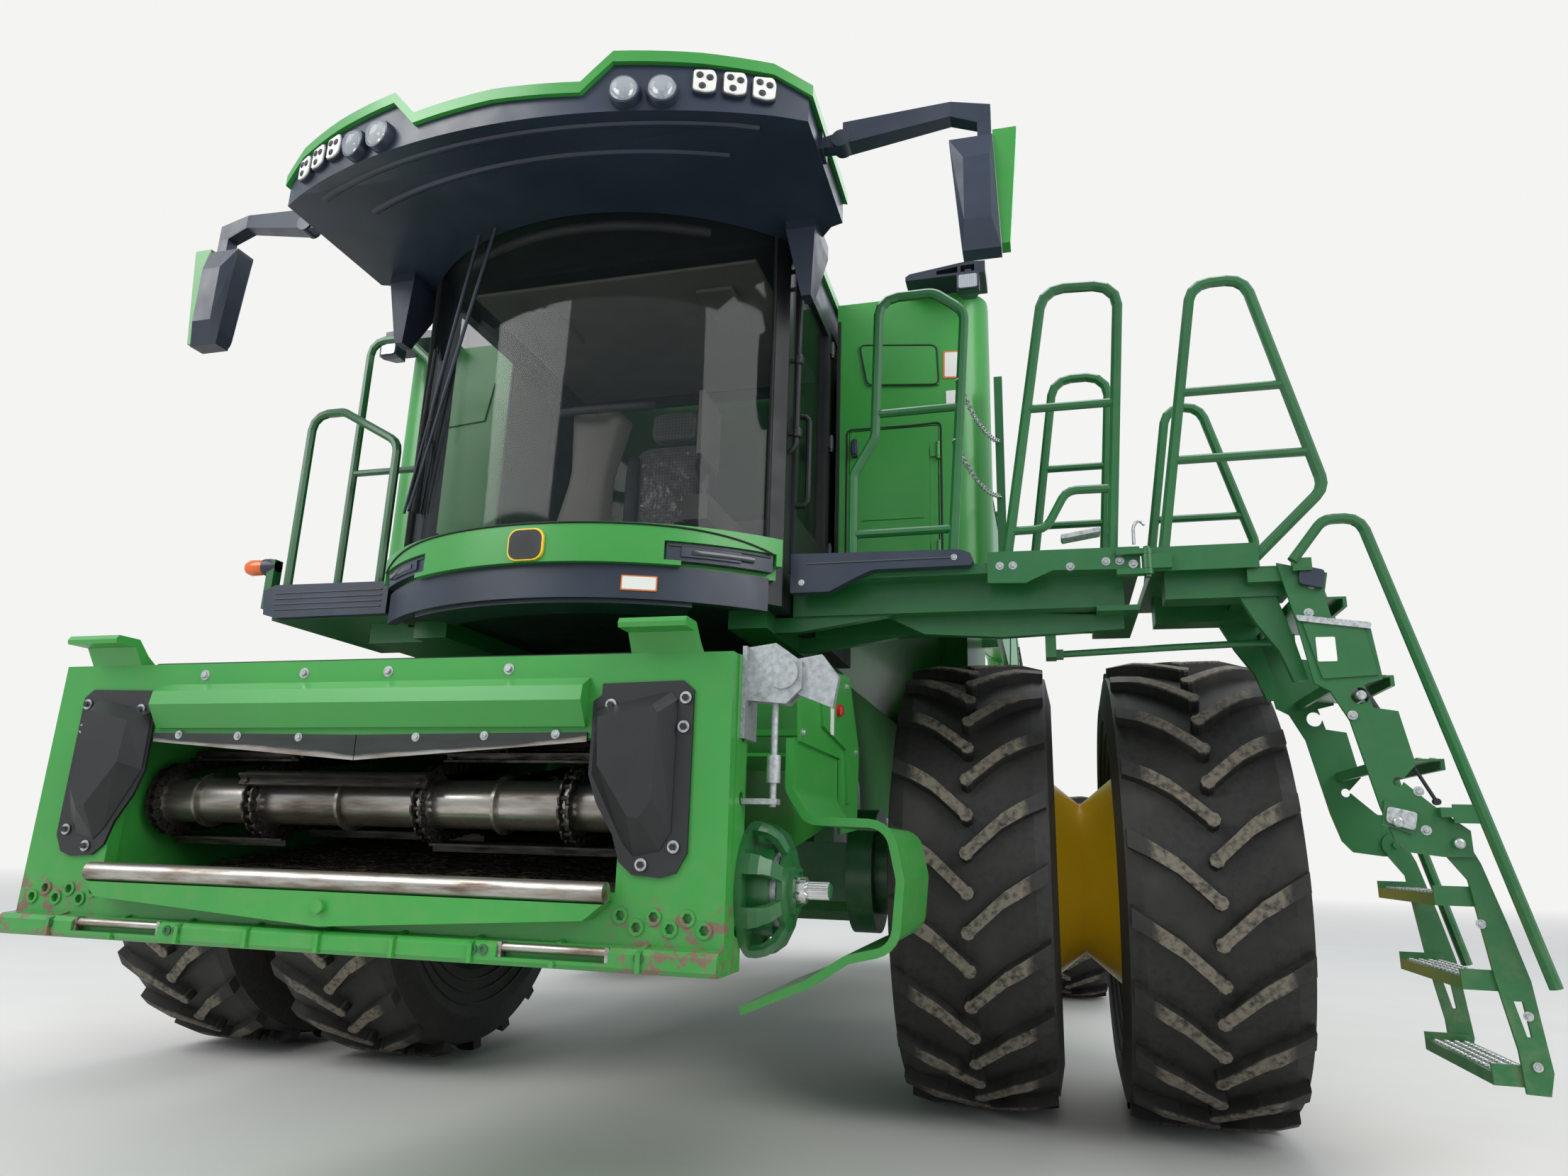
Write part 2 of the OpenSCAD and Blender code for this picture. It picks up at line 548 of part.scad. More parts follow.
// Roof outline in plan, bowed at the front and narrower between the front sheets
module roof_plan(inset) difference() {
    intersection() {
        translate([0, roof_c]) circle(roof_r - inset, $fn = 120);
        translate([-roof_half_w + inset, roof_front_y - 10]) square([2 * (roof_half_w - inset), -70 - roof_front_y]);
    }
    both() polygon([[892 - inset, 10], [892 - inset, -1330], [925 - inset, -1430], [1060, -1600 - inset], [1300, -1680 - inset], [1300, 10]]);
}
module roof_front(drop) polygon([[0, roof_top_z - 110 - drop], [340, roof_top_z - 125 - drop], [450, roof_top_z - drop],
    [760, roof_top_z - 2 - drop], [1000, roof_top_z - 15 - drop], [roof_half_w, roof_top_z - 80 - drop],
    [roof_half_w, roof_top_z - 270], [0, roof_top_z - 270]]);
// Space of the cab under the roof
module cab_room() translate([0, 0, screen_top_z - 190]) linear_extrude(220 + eps) cab_plan(-eps);
module cab_roof() color(green) place() difference() {
    intersection() {
        translate([0, 0, roof_top_z - 470]) linear_extrude(800) roof_plan(0);
        along_y(-2600, 0) both() difference() {
            roof_front(0);
            translate([0, -1]) roof_front(45);
        }
    }
    cab_room();
}
function ahead(x, off) = screen_c - sqrt(pow(screen_r + off, 2) - x * x);
module roof_brow() color(black) place() {
    difference() {
        intersection() {
            translate([0, 0, roof_top_z - 470]) linear_extrude(800) roof_plan(18);
            along_y(-2600, 0) both() roof_front(46.3);
            along_x(-1200, 1200) translate([0, roof_top_z]) polygon([[-2600, -248], [-2540, -248], [-2300, -220], [0, -220], [0, 130],
                [-2600, 130]]);
        }
        cab_room();
    }
    // hooked fins that hang behind the wide part of the brow
    both() hull() {
        block([885, -1700, roof_top_z - 262], [1010, -1450, roof_top_z - 200]);
        block([945, -1650, roof_top_z - 545], [985, -1580, roof_top_z - 538]);
    }
    // wipers; columns: spindle and blade tip from the centreline
    for (w = [[-430, -800], [-330, -740]]) {
        top = [w[0], ahead(w[0], 42), screen_top_z - 12];
        tip = [w[1], ahead(w[1], 42), 2480];
        rod(top, top + (tip - top) * 0.62, 8);
        rod(top + (tip - top) * 0.3, tip, 6);
    }
}
// columns: distance from the centreline, depth below the crest, radius, sides
roof_lamp_list = [[497, 175, 52, 48], [627, 170, 52, 48], [765, 122, 46, 5], [866, 122, 46, 5], [962, 128, 46, 5]];
module roof_lamps() color(steel) place() both() for (l = roof_lamp_list) translate([0, roof_c, roof_top_z - l[1]])
    rotate([90, 0, asin(l[0] / (roof_r - 18))]) translate([0, 0, roof_r - 18 + eps]) cylinder(h = 32, r = l[2], $fn = l[3]);
// Ring around the screen's foot between two angles from straight ahead
module chin_ring(z0, z1, inner, outer, a0, a1) translate([0, screen_c, z0]) linear_extrude(z1 - z0) intersection() {
    difference() {
        circle(screen_r + outer, $fn = 96);
        circle(screen_r + inner, $fn = 96);
    }
    polygon([[0, 0], for (a = [a0, (a0 + a1) / 2, a1]) 2500 * [sin(a), -cos(a)]]);
}
chin_end = asin((cab_half_w + 20) / (screen_r + 70));
pod_a0 = asin(480 / screen_r);
module cab_chin() color(green) place() difference() {
    chin_ring(2130, 2285, eps, 70, -chin_end, chin_end);
    both() chin_ring(2148, 2222, 22, 80, pod_a0, chin_end - 1.2);
    both() chin_ring(2120, 2175, 22, 80, pod_a0 + 3, chin_end + 1);
}
// Black lamp pods in the chin and the black sill below it
module chin_pods() color(black) place() {
    both() chin_ring(2150, 2220, 22.3, 58, pod_a0 + 0.4, chin_end - 1.6);
    both() chin_ring(2166, 2204, 58, 66, pod_a0 + 3, chin_end - 8);
    chin_ring(floor_z - 40, 2130 - eps, eps, 42, -chin_end + 2, chin_end - 2);
    chin_ring(1985, floor_z - eps, -160, 20, -30, 30);
}
module cab_seat() color(dark) place() {
    // base, cushion, back, head rest
    block([-180, -1000, floor_z + 120 + eps], [180, -600, 2450]);
    block([-260, -1100, 2450], [260, -560, 2570]);
    block([-240, -640, 2570], [240, -520, 3180]);
    block([-140, -620, 3180], [140, -540, 3360]);
}
module cab_interior() color(dark) place() {
    // arm rest and its stand beside the seat
    block([280, -1150, 2560], [400, -560, 2680]);
    block([260 + eps, -900, floor_z + 120 + eps], [330, -700, 2560]);
    // steering column and wheel
    block([-100, -1700, floor_z + 120 + eps], [100, -1500, floor_z + 170]);
    rod([0, -1600, floor_z + 150], [0, -1430, 2980], 70);
    translate([0, -1415, 3010]) rotate([25, 0, 0]) {
        rotate_extrude() polygon([[184, -8], [184, 8], [193, 16], [207, 16], [216, 8], [216, -8], [207, -16], [193, -16]]);
        for (a = [30, 150, 270]) rotate([0, 0, a]) translate([0, -14, -6]) cube([190, 28, 12]);
        translate([0, 0, -30]) cylinder(h = 45, r = 45);
    }
    // monitor on the arm rest
    block([420, -1380, 2780], [440, -1130, 3080]);
    block([350, -1110, 2670], [374, -1086, 2880]);
    block([350, -1200, 2860], [430, -1086, 2880]);
}
module mirror_set() translate([0, 0, roof_top_z]) {
    // arm from the roof edge with its knuckle, then the housing
    block([roof_half_w - 18 + eps, -2085, -208], [roof_half_w - 4, -1995, -132]);
    along_y(-2065, -2015) polygon([[roof_half_w - 6, -190], [roof_half_w + 60, -195], [roof_half_w + 60, -130], [roof_half_w - 6, -145]]);
    along_y(-2072, -2000) translate([roof_half_w + 62, -162]) circle(36);
    hull() {
        block([1200, -2070, -188], [1204, -1995, -95]);
        block([1590, -1985, -72], [1594, -1925, -8]);
    }
    hull() {
        block([1590, -1985, -72], [1594, -1925, -8]);
        block([1690, -1980, -112], [1740, -1925, -42]);
    }
    block([1690, -1980, -200], [1740, -1925, -80]);
    hull() {
        block([1628, -2000, -660], [1765, -1930, -652]);
        block([1588, -2010, -210], [1745, -1920, -196]);
        block([1640, -2040, -560], [1735, -2010, -300]);
    }
}
module mirrors() color(black) place() both() mirror_set();
// painted shells on the outer half of the mirrors
module mirror_shells() color(green) place() both() translate([0, 0, roof_top_z]) hull() {
    block([1765.5, -1990, -640], [1796, -1925, -632]);
    block([1745.5, -2005, -195], [1830, -1900, -175]);
}
// Work lights on brackets above the front sheets
module work_lights() color(black) place() both() {
    z = bulkhead_top_z;
    along_y(-905, bulkhead_y + 40) difference() {
        polygon([[1270, z + eps], [1650, z + eps], [1650, z + 62], [1560, z + 68], [1290, z + 34], [1270, z + 20]]);
        polygon([[1420, z + 14], [1520, z + 14], [1520, z + 46], [1420, z + 34]]);
        polygon([[1535, z + 14], [1600, z + 14], [1600, z + 50], [1535, z + 48]]);
    }
    block([1556, -930, z - 60], [1586, -860, z + 10]);
    hull() {
        block([1520, -965, z - 120], [1625, -925, z - 30]);
        block([1545, -900, z - 105], [1600, -850, z - 45]);
    }
}

// Hoop of tube in a plane of constant y: left foot, left top, right top, right foot
module hoop(y, p0, p1, p2, p3, mids) {
    tube([[p0[0], y, p0[1]], [p1[0], y, p1[1]], [p2[0], y, p2[1]], [p3[0], y, p3[1]]], rail_r, 90);
    for (m = mids) let (a = (m - p0[1]) / (p1[1] - p0[1]), b = (m - p3[1]) / (p2[1] - p3[1]))
        tube([[p0[0] + (p1[0] - p0[0]) * a, y, m], [p3[0] + (p2[0] - p3[0]) * b, y, m]], rail_r * 0.8);
}
module walkway() color(dark_green) place() {
    block([905, deck_front_y, deck_z - 40], [deck_end_x, deck_rear_y - 2, deck_z]);
    // kick plate, cut away below between its ends
    along_y(deck_front_y - 8, deck_front_y) polygon([[1660, deck_z + 40], [deck_end_x, deck_z + 36], [deck_end_x, deck_z - 50],
        [1900, deck_z - 40], [1830, deck_z - 70], [1800, deck_z - 85], [1660, deck_z - 80]]);
    // lower arm and crank bracket below the beams
    along_y(-1325, -1285) polygon([[1250, deck_z - 155], [1750, deck_z - 155], [2150, deck_z - 178], [2150, deck_z - 230],
        [1700, deck_z - 250], [1400, deck_z - 230]]);
    block([1860, -1310, 1860], [1900, -1220, deck_z - 225]);
    for (y = [-1400, -1000]) block([880, y, deck_z - 160], [2150, y + 80, deck_z - 40]);
    block([2050, -1420, deck_z - 180], [2200, -900, deck_z - 160]);
    // brackets on the cab beams
    for (y = [-1380, -980]) along_y(y, y + 40) polygon([[800 + eps, 1970], [900, 1970], [1300, deck_z - 160], [800 + eps, deck_z - 160]]);
    // ears of the ladder's swing pin
    for (z = [-75, 0]) translate([0, 0, deck_z + z]) linear_extrude(20) difference() {
        union() {
            translate([swing_pin_x, swing_pin_y]) circle(20);
            translate([2120, deck_front_y - 38]) square([swing_pin_x - 2120, 37]);
        }
        translate([swing_pin_x, swing_pin_y]) circle(12.05);
    }
}
// Black mouldings along the front of both decks
module deck_trims() color(black) place() {
    along_y(deck_front_y - 50, deck_front_y - eps) polygon([[905, deck_z + 58], [1560, deck_z + 45], [1600, deck_z + 30], [1612, deck_z],
        [1600, deck_z - 18], [1230, deck_z - 20], [1170, deck_z - 45], [1060, deck_z - 100], [905, deck_z - 100]]);
    along_y(deck_front_y - 70, deck_front_y - 30 - eps) polygon([[-905, deck_z + 20], [-1500, deck_z + 25], [-1560, deck_z], [-1545, deck_z - 110],
        [-1480, deck_z - 128], [-905, deck_z - 125]]);
}
module walkway_rails() color(dark_green) place() {
    // feet on the deck
    for (x = [1138, 1528, 1730, 2110]) block([x - 38, deck_front_y + 1, deck_z + eps], [x + 38, deck_front_y + 60, deck_z + 10]);
    for (x = [1800, 2110]) block([x - 38, deck_rear_y - 62, deck_z + eps], [x + 38, deck_rear_y - 4, deck_z + 10]);
    y = deck_front_y + 20;
    tube([[1138, y, deck_z + 5], [1138, y, 2590], [1226, y, 2745], [1240, y, rail_top_z + 40], [1470, y, rail_top_z + 40],
        [1592, y, rail_top_z - 60], [1528, y, deck_z + 5]], rail_r, 80);
    tube([[1230, y, 2846], [1563, y, 2850]], rail_r * 0.8);
    tube([[1138, y, 2337], [1534, y, 2340]], rail_r * 0.8);
    hoop(y, [1730, deck_z + 5], [1903, rail_top_z], [2190, rail_top_z - 15], [2110, deck_z + 5], [2814]);
    tube([[1745, y, 2317], [1880, y, 2320], [1960, y, 2468], [2137, y, 2466]], rail_r * 0.8, 60);
    hoop(deck_rear_y - 30, [1800, deck_z + 5], [1940, rail_top_z - 60], [2185, rail_top_z - 60], [2110, deck_z + 5], [2560, 2830]);
    block([1670, deck_rear_y - 40, deck_z + eps], [1708, deck_rear_y - 10, rail_top_z - 20]);
}
module right_platform() color(dark_green) place() {
    block([-1530, deck_front_y - 30, deck_z - 130], [-890, deck_rear_y - 2, deck_z]);
    block([-1100, -1400, 1970], [-800 - eps, -1000, floor_z - eps]);
    block([-1100, -1400, floor_z - eps], [-cab_half_w - 35, -1000, deck_z - 130]);
    tube([[-1500, deck_front_y, deck_z], [-1500, deck_front_y, 3080], [-1330, deck_front_y, 3080], [-1010, deck_front_y, 2900],
        [-1010, deck_front_y, deck_z]], rail_r, 80);
    tube([[-1500, -1180, deck_z - 10], [-1500, -1180, 3640], [-1300, -1180, 3640], [-1120, -1180, 3480], [-1120, -1180, deck_z - 10]], rail_r, 80);
    tube([[-1500, -1180, 2900], [-1120, -1180, 2900]], rail_r * 0.8);
    block([-1600, deck_front_y + 5, deck_z - 60], [-1500, deck_front_y + 60, deck_z - 20]);
    block([-1640, deck_front_y + 10, deck_z - 60], [-1600, deck_front_y + 60, deck_z + 175]);
}

// Feeder house
module tunnel_side() polygon([[feeder_face_y + 40, 870], [feeder_face_y + 40, 1600], [lift_y + 60, 1850], [lift_y + 60, 1260]]);
module feeder_tunnel() color(green) place() {
    difference() {
        along_x(-tunnel_half_w, tunnel_half_w) tunnel_side();
        along_x(-tunnel_half_w + 30, tunnel_half_w - 30)
            polygon([[feeder_face_y, 960], [feeder_face_y, 1560], [lift_y + 100, 1800], [lift_y + 100, 1330]]);
        along_x(-2000, 2000) translate([lift_y, lift_z]) circle(25);
    }
    both() for (x = [lift_x - 35, lift_x + 35]) along_x(x - 12, x + 12) difference() {
        polygon([[lift_eye_y - 200, 1030], [lift_eye_y - 60, 910], [lift_eye_y + 60, 910], [lift_eye_y + 200, 1100]]);
        translate([lift_eye_y, lift_eye_z]) circle(26);
    }
}
module feeder_face() color(green) place() {
    y = feeder_face_y;
    difference() {
        along_y(y, y + 40 - eps) polygon([[-face_half_w, face_low_z], [-face_half_w + 5, face_top_z], [face_half_w - 5, face_top_z],
            [face_half_w, face_low_z]]);
        along_y(y - 5, y + 50) polygon([[-mouth_half_w, mouth_low_z], [-mouth_half_w, mouth_top_z], [0, mouth_top_z - 60],
            [mouth_half_w, mouth_top_z], [mouth_half_w, mouth_low_z]]);
        face_holes() along_y(y - 5, y + 10) circle(13, $fn = 6);
    }
    face_holes() along_y(y - 4, y + 1) difference() { circle(20, $fn = 24); circle(13, $fn = 6); }
    // folded upper band above the wear strip
    along_x(-695, 695) polygon([[y, face_top_z - 62], [y - 45, face_top_z - 88], [y - 52, face_top_z - 128], [y - 12, mouth_top_z + 22],
        [y, mouth_top_z + 22]]);
    // lower beam: round nose, ribs, pockets of the lock rods
    difference() {
        union() {
            along_x(-face_half_w, face_half_w) polygon([[y, face_low_z], [y - 40, face_low_z], [y - 52, face_low_z + 12], [y - 52, face_low_z + 44],
                [y - 40, face_low_z + 56], [y, face_low_z + 60]]);
            for (x = [-900 : 225 : 900]) along_x(x - 6, x + 6) polygon([[y, face_low_z], [y - 60, face_low_z + 4], [y - 60, face_low_z + 50],
                [y, face_low_z + 66]]);
        }
        both() block([520, y - 70, face_low_z + 20], [820, y - 22, face_low_z + 70]);
    }
    // tray with its V bottom
    along_y(y - 60, y) polygon([[-800, mouth_low_z - 25], [800, mouth_low_z - 25], [750, mouth_low_z - 65], [0, mouth_low_z - 112],
        [-750, mouth_low_z - 65]]);
    translate([0, y - 60, mouth_low_z - 62]) rotate([90, 0, 0]) cylinder(h = 14, r = 17);
    // side flanges with their lightening holes, and saddles
    both() {
        difference() {
            block([face_half_w - 20, y + 40 - eps, face_low_z], [face_half_w, y + 130, face_top_z]);
            for (z = [930 : 160 : 1500]) along_x(face_half_w - 30, face_half_w + 10) translate([y + 92, z]) circle(17);
        }
        along_x(807, 992) polygon([[y - 96, face_top_z + 50], [y - 100, face_top_z + 62], [y - 92, face_top_z + 75], [y - 20, face_top_z + 75],
            [y + 20, face_top_z + 30], [y + 60, face_top_z], [y, face_top_z], [y - 30, face_top_z + 50]]);
    }
}
// Ringed holes at both feet of the face in a zig-zag
module face_holes() both() for (i = [0 : 5]) translate([824 + i * 44, 0, i % 2 == 0 ? 958 : 932]) children();
// Bright parts: lip roller, split wear strip, lock rods
module feeder_wear_parts() color(steel) place() {
    y = feeder_face_y;
    rod([-800, y - 42, mouth_low_z + 1.3], [800, y - 42, mouth_low_z + 1.3], 26);
    both() along_y(y - 9, y - eps) polygon([[1.5, mouth_top_z + 2], [700, mouth_top_z + 8], [700, mouth_top_z - 17], [1.5, mouth_top_z - 68]]);
    both() {
        rod([525, y - 34, face_low_z + 43], [815, y - 34, face_low_z + 43], 11);
        for (x = [520 + eps, 809]) block([x, y - 46, face_low_z + 20 + eps], [x + 10.7, y - 22 - eps, face_low_z + 56]);
    }
}
module feeder_guards() color(black) place() both() {
    y = feeder_face_y - eps;
    along_y(y - 8, y) polygon([[712, 1488], [735, 1505], [735, 1535], [960, 1540], [990, 1515], [992, 1110], [965, 1062], [925, 1050], [850, 1055],
        [812, 1085], [790, 1150], [738, 1230], [712, 1300]]);
    // bulged pocket
    hull() {
        along_y(y - 10, y - 8) polygon([[722, 1470], [930, 1512], [948, 1490], [948, 1160], [920, 1115], [850, 1100], [820, 1130], [722, 1300]]);
        along_y(y - 62, y - 58) polygon([[752, 1440], [900, 1470], [915, 1450], [912, 1240], [880, 1190], [850, 1195], [760, 1320]]);
    }
    // bolts with washers; columns: place from the centreline, height
    for (b = [[970, 1495], [968, 1421], [764, 1478], [957, 1125], [874, 1080]]) {
        along_y(y - 12, y - 8) translate(b) circle(15);
        along_y(y - 20, y - 12) translate(b) circle(9, $fn = 6);
    }
}
module feeder_drum() color(steel) place() {
    rod([-mouth_half_w + 40, -2600, 1225], [mouth_half_w - 40, -2600, 1225], drum_r);
    rod([-tunnel_half_w + 30.5, -2600, 1225], [tunnel_half_w - 30.5, -2600, 1225], 30);
    // rings, and the toothed wheels of the chains
    for (x = [-639, -134, 371]) translate([x - 5, -2600, 1225]) rotate([0, 90, 0]) cylinder(h = 10, r = drum_r + 14);
    for (x = [-770, -420, 150, 600]) translate([x - 7, -2600, 1225]) rotate([0, 90, 0]) linear_extrude(14)
        polygon([for (i = [0 : 23]) (drum_r + (i % 4 < 2 ? 26 : 10)) * [cos(i * 15), sin(i * 15)]]);
}
module feeder_gearcase() color(dark_green) place() {
    translate([face_half_w + eps, -2560, 1025]) rotate([90, 0, 90]) {
        // domed cage, eight windows between its spokes
        difference() {
            rotate_extrude() polygon([[60, 96], [100, 90], [134, 72], [154, 44], [158, 0], [172, 0], [172, 34], [166, 56], [146, 84], [108, 104], [60, 110]]);
            for (i = [0 : 7]) rotate([0, 0, i * 45]) translate([0, 0, 18]) linear_extrude(110)
                polygon([[100, -22], [100, 22], [152, 40], [180, 40], [180, -40], [152, -40]]);
        }
        cylinder(h = 16, r = 165);
        cylinder(h = 70, r = 118);
        cylinder(h = 122, r = 62);
        for (i = [0 : 5]) rotate([0, 0, i * 60 + 15]) translate([48, 0, 120]) cylinder(h = 9, r = 7, $fn = 6);
    }
    translate([face_half_w + 122, -2560, 1025]) rotate([0, 90, 0]) cylinder(h = 88, r = 17.5);
    block([tunnel_half_w + eps, -2640, 960], [face_half_w + 10, -2480, 1090]);
}
// Sheet bent along a path in the XZ plane, t thick
module bent_sheet(path, t, bend) {
    q = rounded([for (p = path) [p[0], p[1], 0]], bend, 5);
    m = len(q) - 1;
    function off(i) = let (v = unit(q[min(i + 1, m)] - q[max(i - 1, 0)])) [-v[1], v[0]] * t;
    polygon([for (p = q) [p[0], p[1]], for (i = [m : -1 : 0]) [q[i][0], q[i][1]] + off(i)]);
}
module feeder_shield() color(green) place() {
    // scoop round the drive shaft with its turned front lip
    scoop = [[1118, 1440], [1118, 1290], [1180, 1195], [1410, 1190], [1440, 1050], [1425, 880], [1300, 850], [1190, 780], [1000, 700]];
    along_y(-2330, -1660) bent_sheet(scoop, 8, 60);
    along_y(-2350, -2330) bent_sheet(scoop, 24, 60);
    block([tunnel_half_w + eps, -2320, 1390], [1121, -1750, 1400]);
    // outer shield of the feeder drive with a raised field
    along_x(1126.3, 1136) polygon([[-2250, 1442], [-2280, 1690], [-1500, 1760], [-1300, 1500], [-1330, 1200], [-1650, 1180], [-1650, 1442]]);
    along_x(1136, 1146) polygon([[-2020, 1640], [-1620, 1670], [-1500, 1540], [-1480, 1300], [-1560, 1290], [-1600, 1480], [-1980, 1520]]);
    for (y = [-2150, -1500]) block([tunnel_half_w + eps, y, 1470], [1126.3, y + 40, 1490]);
}
// Quick coupler of the header's hydraulics with its handle, and the adjuster below it
module feeder_coupler() color(steel) place() {
    y = feeder_face_y + 60;
    block([face_half_w + eps, y, 1400], [face_half_w + 12, y + 110, 1640]);
    along_y(y + 20, y + 34) polygon([[face_half_w + 12, 1500], [face_half_w + 12, 1640], [1180, 1650], [1250, 1600], [1250, 1530], [1210, 1490]]);
    along_y(y + 60, y + 74) polygon([[face_half_w + 12, 1500], [face_half_w + 12, 1640], [1180, 1650], [1250, 1600], [1250, 1530], [1210, 1490]]);
    along_y(y + 10, y + 84) translate([1200, 1570]) circle(42);
    along_y(y + 34.3, y + 59.7) polygon([[1220, 1545], [1240, 1515], [1330, 1480], [1345, 1560], [1300, 1620], [1240, 1610], [1220, 1595]]);
    rod([1175, y + 47, 1230], [1175, y + 47, 1545], 9);
    rod([1175, y + 47, 1290], [1175, y + 47, 1360], 18);
    block([face_half_w + eps, y + 30, 1236], [1190, y + 64, 1250]);
}
module lift_barrels() color(black) place() both() translate([lift_x, lift_base_y, lift_base_z]) rotate([-lift_a, 0, 0]) rotate([90, 0, 0]) {
    difference() {
        union() {
            translate([0, 0, 72]) difference() { cylinder(h = 888, r = 56); translate([0, 0, 18]) cylinder(h = 900, r = 32.05); }
            translate([-50, 0, 0]) rotate([0, 90, 0]) cylinder(h = 100, r = 45);
            translate([-40, -30, 0]) cube([80, 60, 80]);
        }
    }
    translate([-85, 0, 0]) rotate([0, 90, 0]) cylinder(h = 170, r = 24.92);
}
module lift_rods() color(steel) place() both() translate([lift_x, lift_base_y, lift_base_z]) rotate([-lift_a, 0, 0]) rotate([90, 0, 0]) {
    translate([0, 0, 320]) cylinder(h = lift_len - 320 - 170, r = 32);
    // flat end with its eye and pin between the ears of the feeder
    translate([-20, -28, lift_len - 170]) cube([40, 56, 170]);
    translate([-20, 0, lift_len]) rotate([0, 90, 0]) cylinder(h = 40, r = 42);
    translate([-65, 0, lift_len]) rotate([0, 90, 0]) cylinder(h = 130, r = 11);
}

// Unloading auger along the left side
module auger_elbow() color(green) place() {
    translate([auger_x, auger_y, 2700]) cylinder(h = auger_z - auger_r - 30 - 2700, r = 180);
    block([tank_half_w + eps, auger_y - 150, 2700], [auger_x, auger_y + 150, 2900]);
}
module unloading_auger() color(green) place() {
    translate([auger_x, auger_y, auger_z - auger_r - 30 + eps]) cylinder(h = auger_r + 30, r = 180);
    translate([auger_x, auger_y - 100, auger_z]) rotate([-90, 0, 0]) cylinder(h = auger_len - 50, r = auger_r);
    translate([auger_x, auger_y + auger_len - 400, auger_z - 420]) cylinder(h = 420, r1 = 140, r2 = 165);
}

// Swinging platform with its rails, then the two halves of the ladder
swing_pin_x = 2228;
swing_pin_y = deck_front_y - 20;
ladder_top = [2700, 2150];
ladder_mid = [3094, fold_z];
ladder_low = [3222, 500];
ladder_y0 = -1504;
ladder_y1 = -880;
module ladder_platform() color(dark_green) place() {
    block([swing_x, deck_front_y, deck_z - 40], [swing_end_x, deck_rear_y - 2, deck_z]);
    block([swing_x, deck_front_y - 8, deck_z - 60], [swing_end_x, deck_front_y, deck_z + 30]);
    block([swing_x + 40, -1440, deck_z - 150], [2700, -1320, deck_z - 40]);
    block([swing_x + 40, -1040, deck_z - 150], [2700, -920, deck_z - 40]);
    translate([swing_pin_x, swing_pin_y, deck_z - 85]) cylinder(h = 115, r = 12);
    translate([swing_pin_x, swing_pin_y, deck_z - 54]) cylinder(h = 53, r = 20);
    block([swing_pin_x, swing_pin_y - 12, deck_z - 54], [swing_x + 60, deck_front_y - 4, deck_z - 1]);
    tube([[2285, deck_front_y + 20, deck_z - 10], [2456, deck_front_y + 20, rail_top_z - 50], [2645, deck_front_y + 20, rail_top_z - 50],
        [2840, deck_front_y + 20, 2420], [2580, deck_front_y + 20, deck_z - 30]], rail_r);
    tube([[2355, deck_front_y + 20, 2560], [2800, deck_front_y + 20, 2560]], rail_r * 0.8);
    tube([[2390, deck_front_y + 20, 2830], [2745, deck_front_y + 20, 2830]], rail_r * 0.8);
    tube([[2285, deck_rear_y - 30, deck_z - 10], [2420, deck_rear_y - 30, rail_top_z - 250], [2560, deck_rear_y - 30, rail_top_z - 250],
        [2740, deck_rear_y - 30, 2420], [2560, deck_rear_y - 30, deck_z - 30]], rail_r);
    tube([[2350, deck_rear_y - 30, 2560], [2700, deck_rear_y - 30, 2560]], rail_r * 0.8);
    block([2560, ladder_y0 + 12 + eps, deck_z - 110], [2720, ladder_y1 - eps, deck_z - 60]);
    // curved arms that carry the ladder's back
    for (y = [-1430, -960]) along_y(y, y + 30) polygon([[2540, 2040], [2660, 2040], [2700, 1900], [2735, 1740], [2690, 1735], [2655, 1840], [2590, 1940]]);
}
function along(p, q, t) = p + (q - p) * t;
module stringer(p, q, w, y) {
    d = unit(q - p);
    n = [-d[1], d[0]] * w / 2;
    along_y(y, y + 12) polygon([p + n, q + n, q - n, p - n]);
}
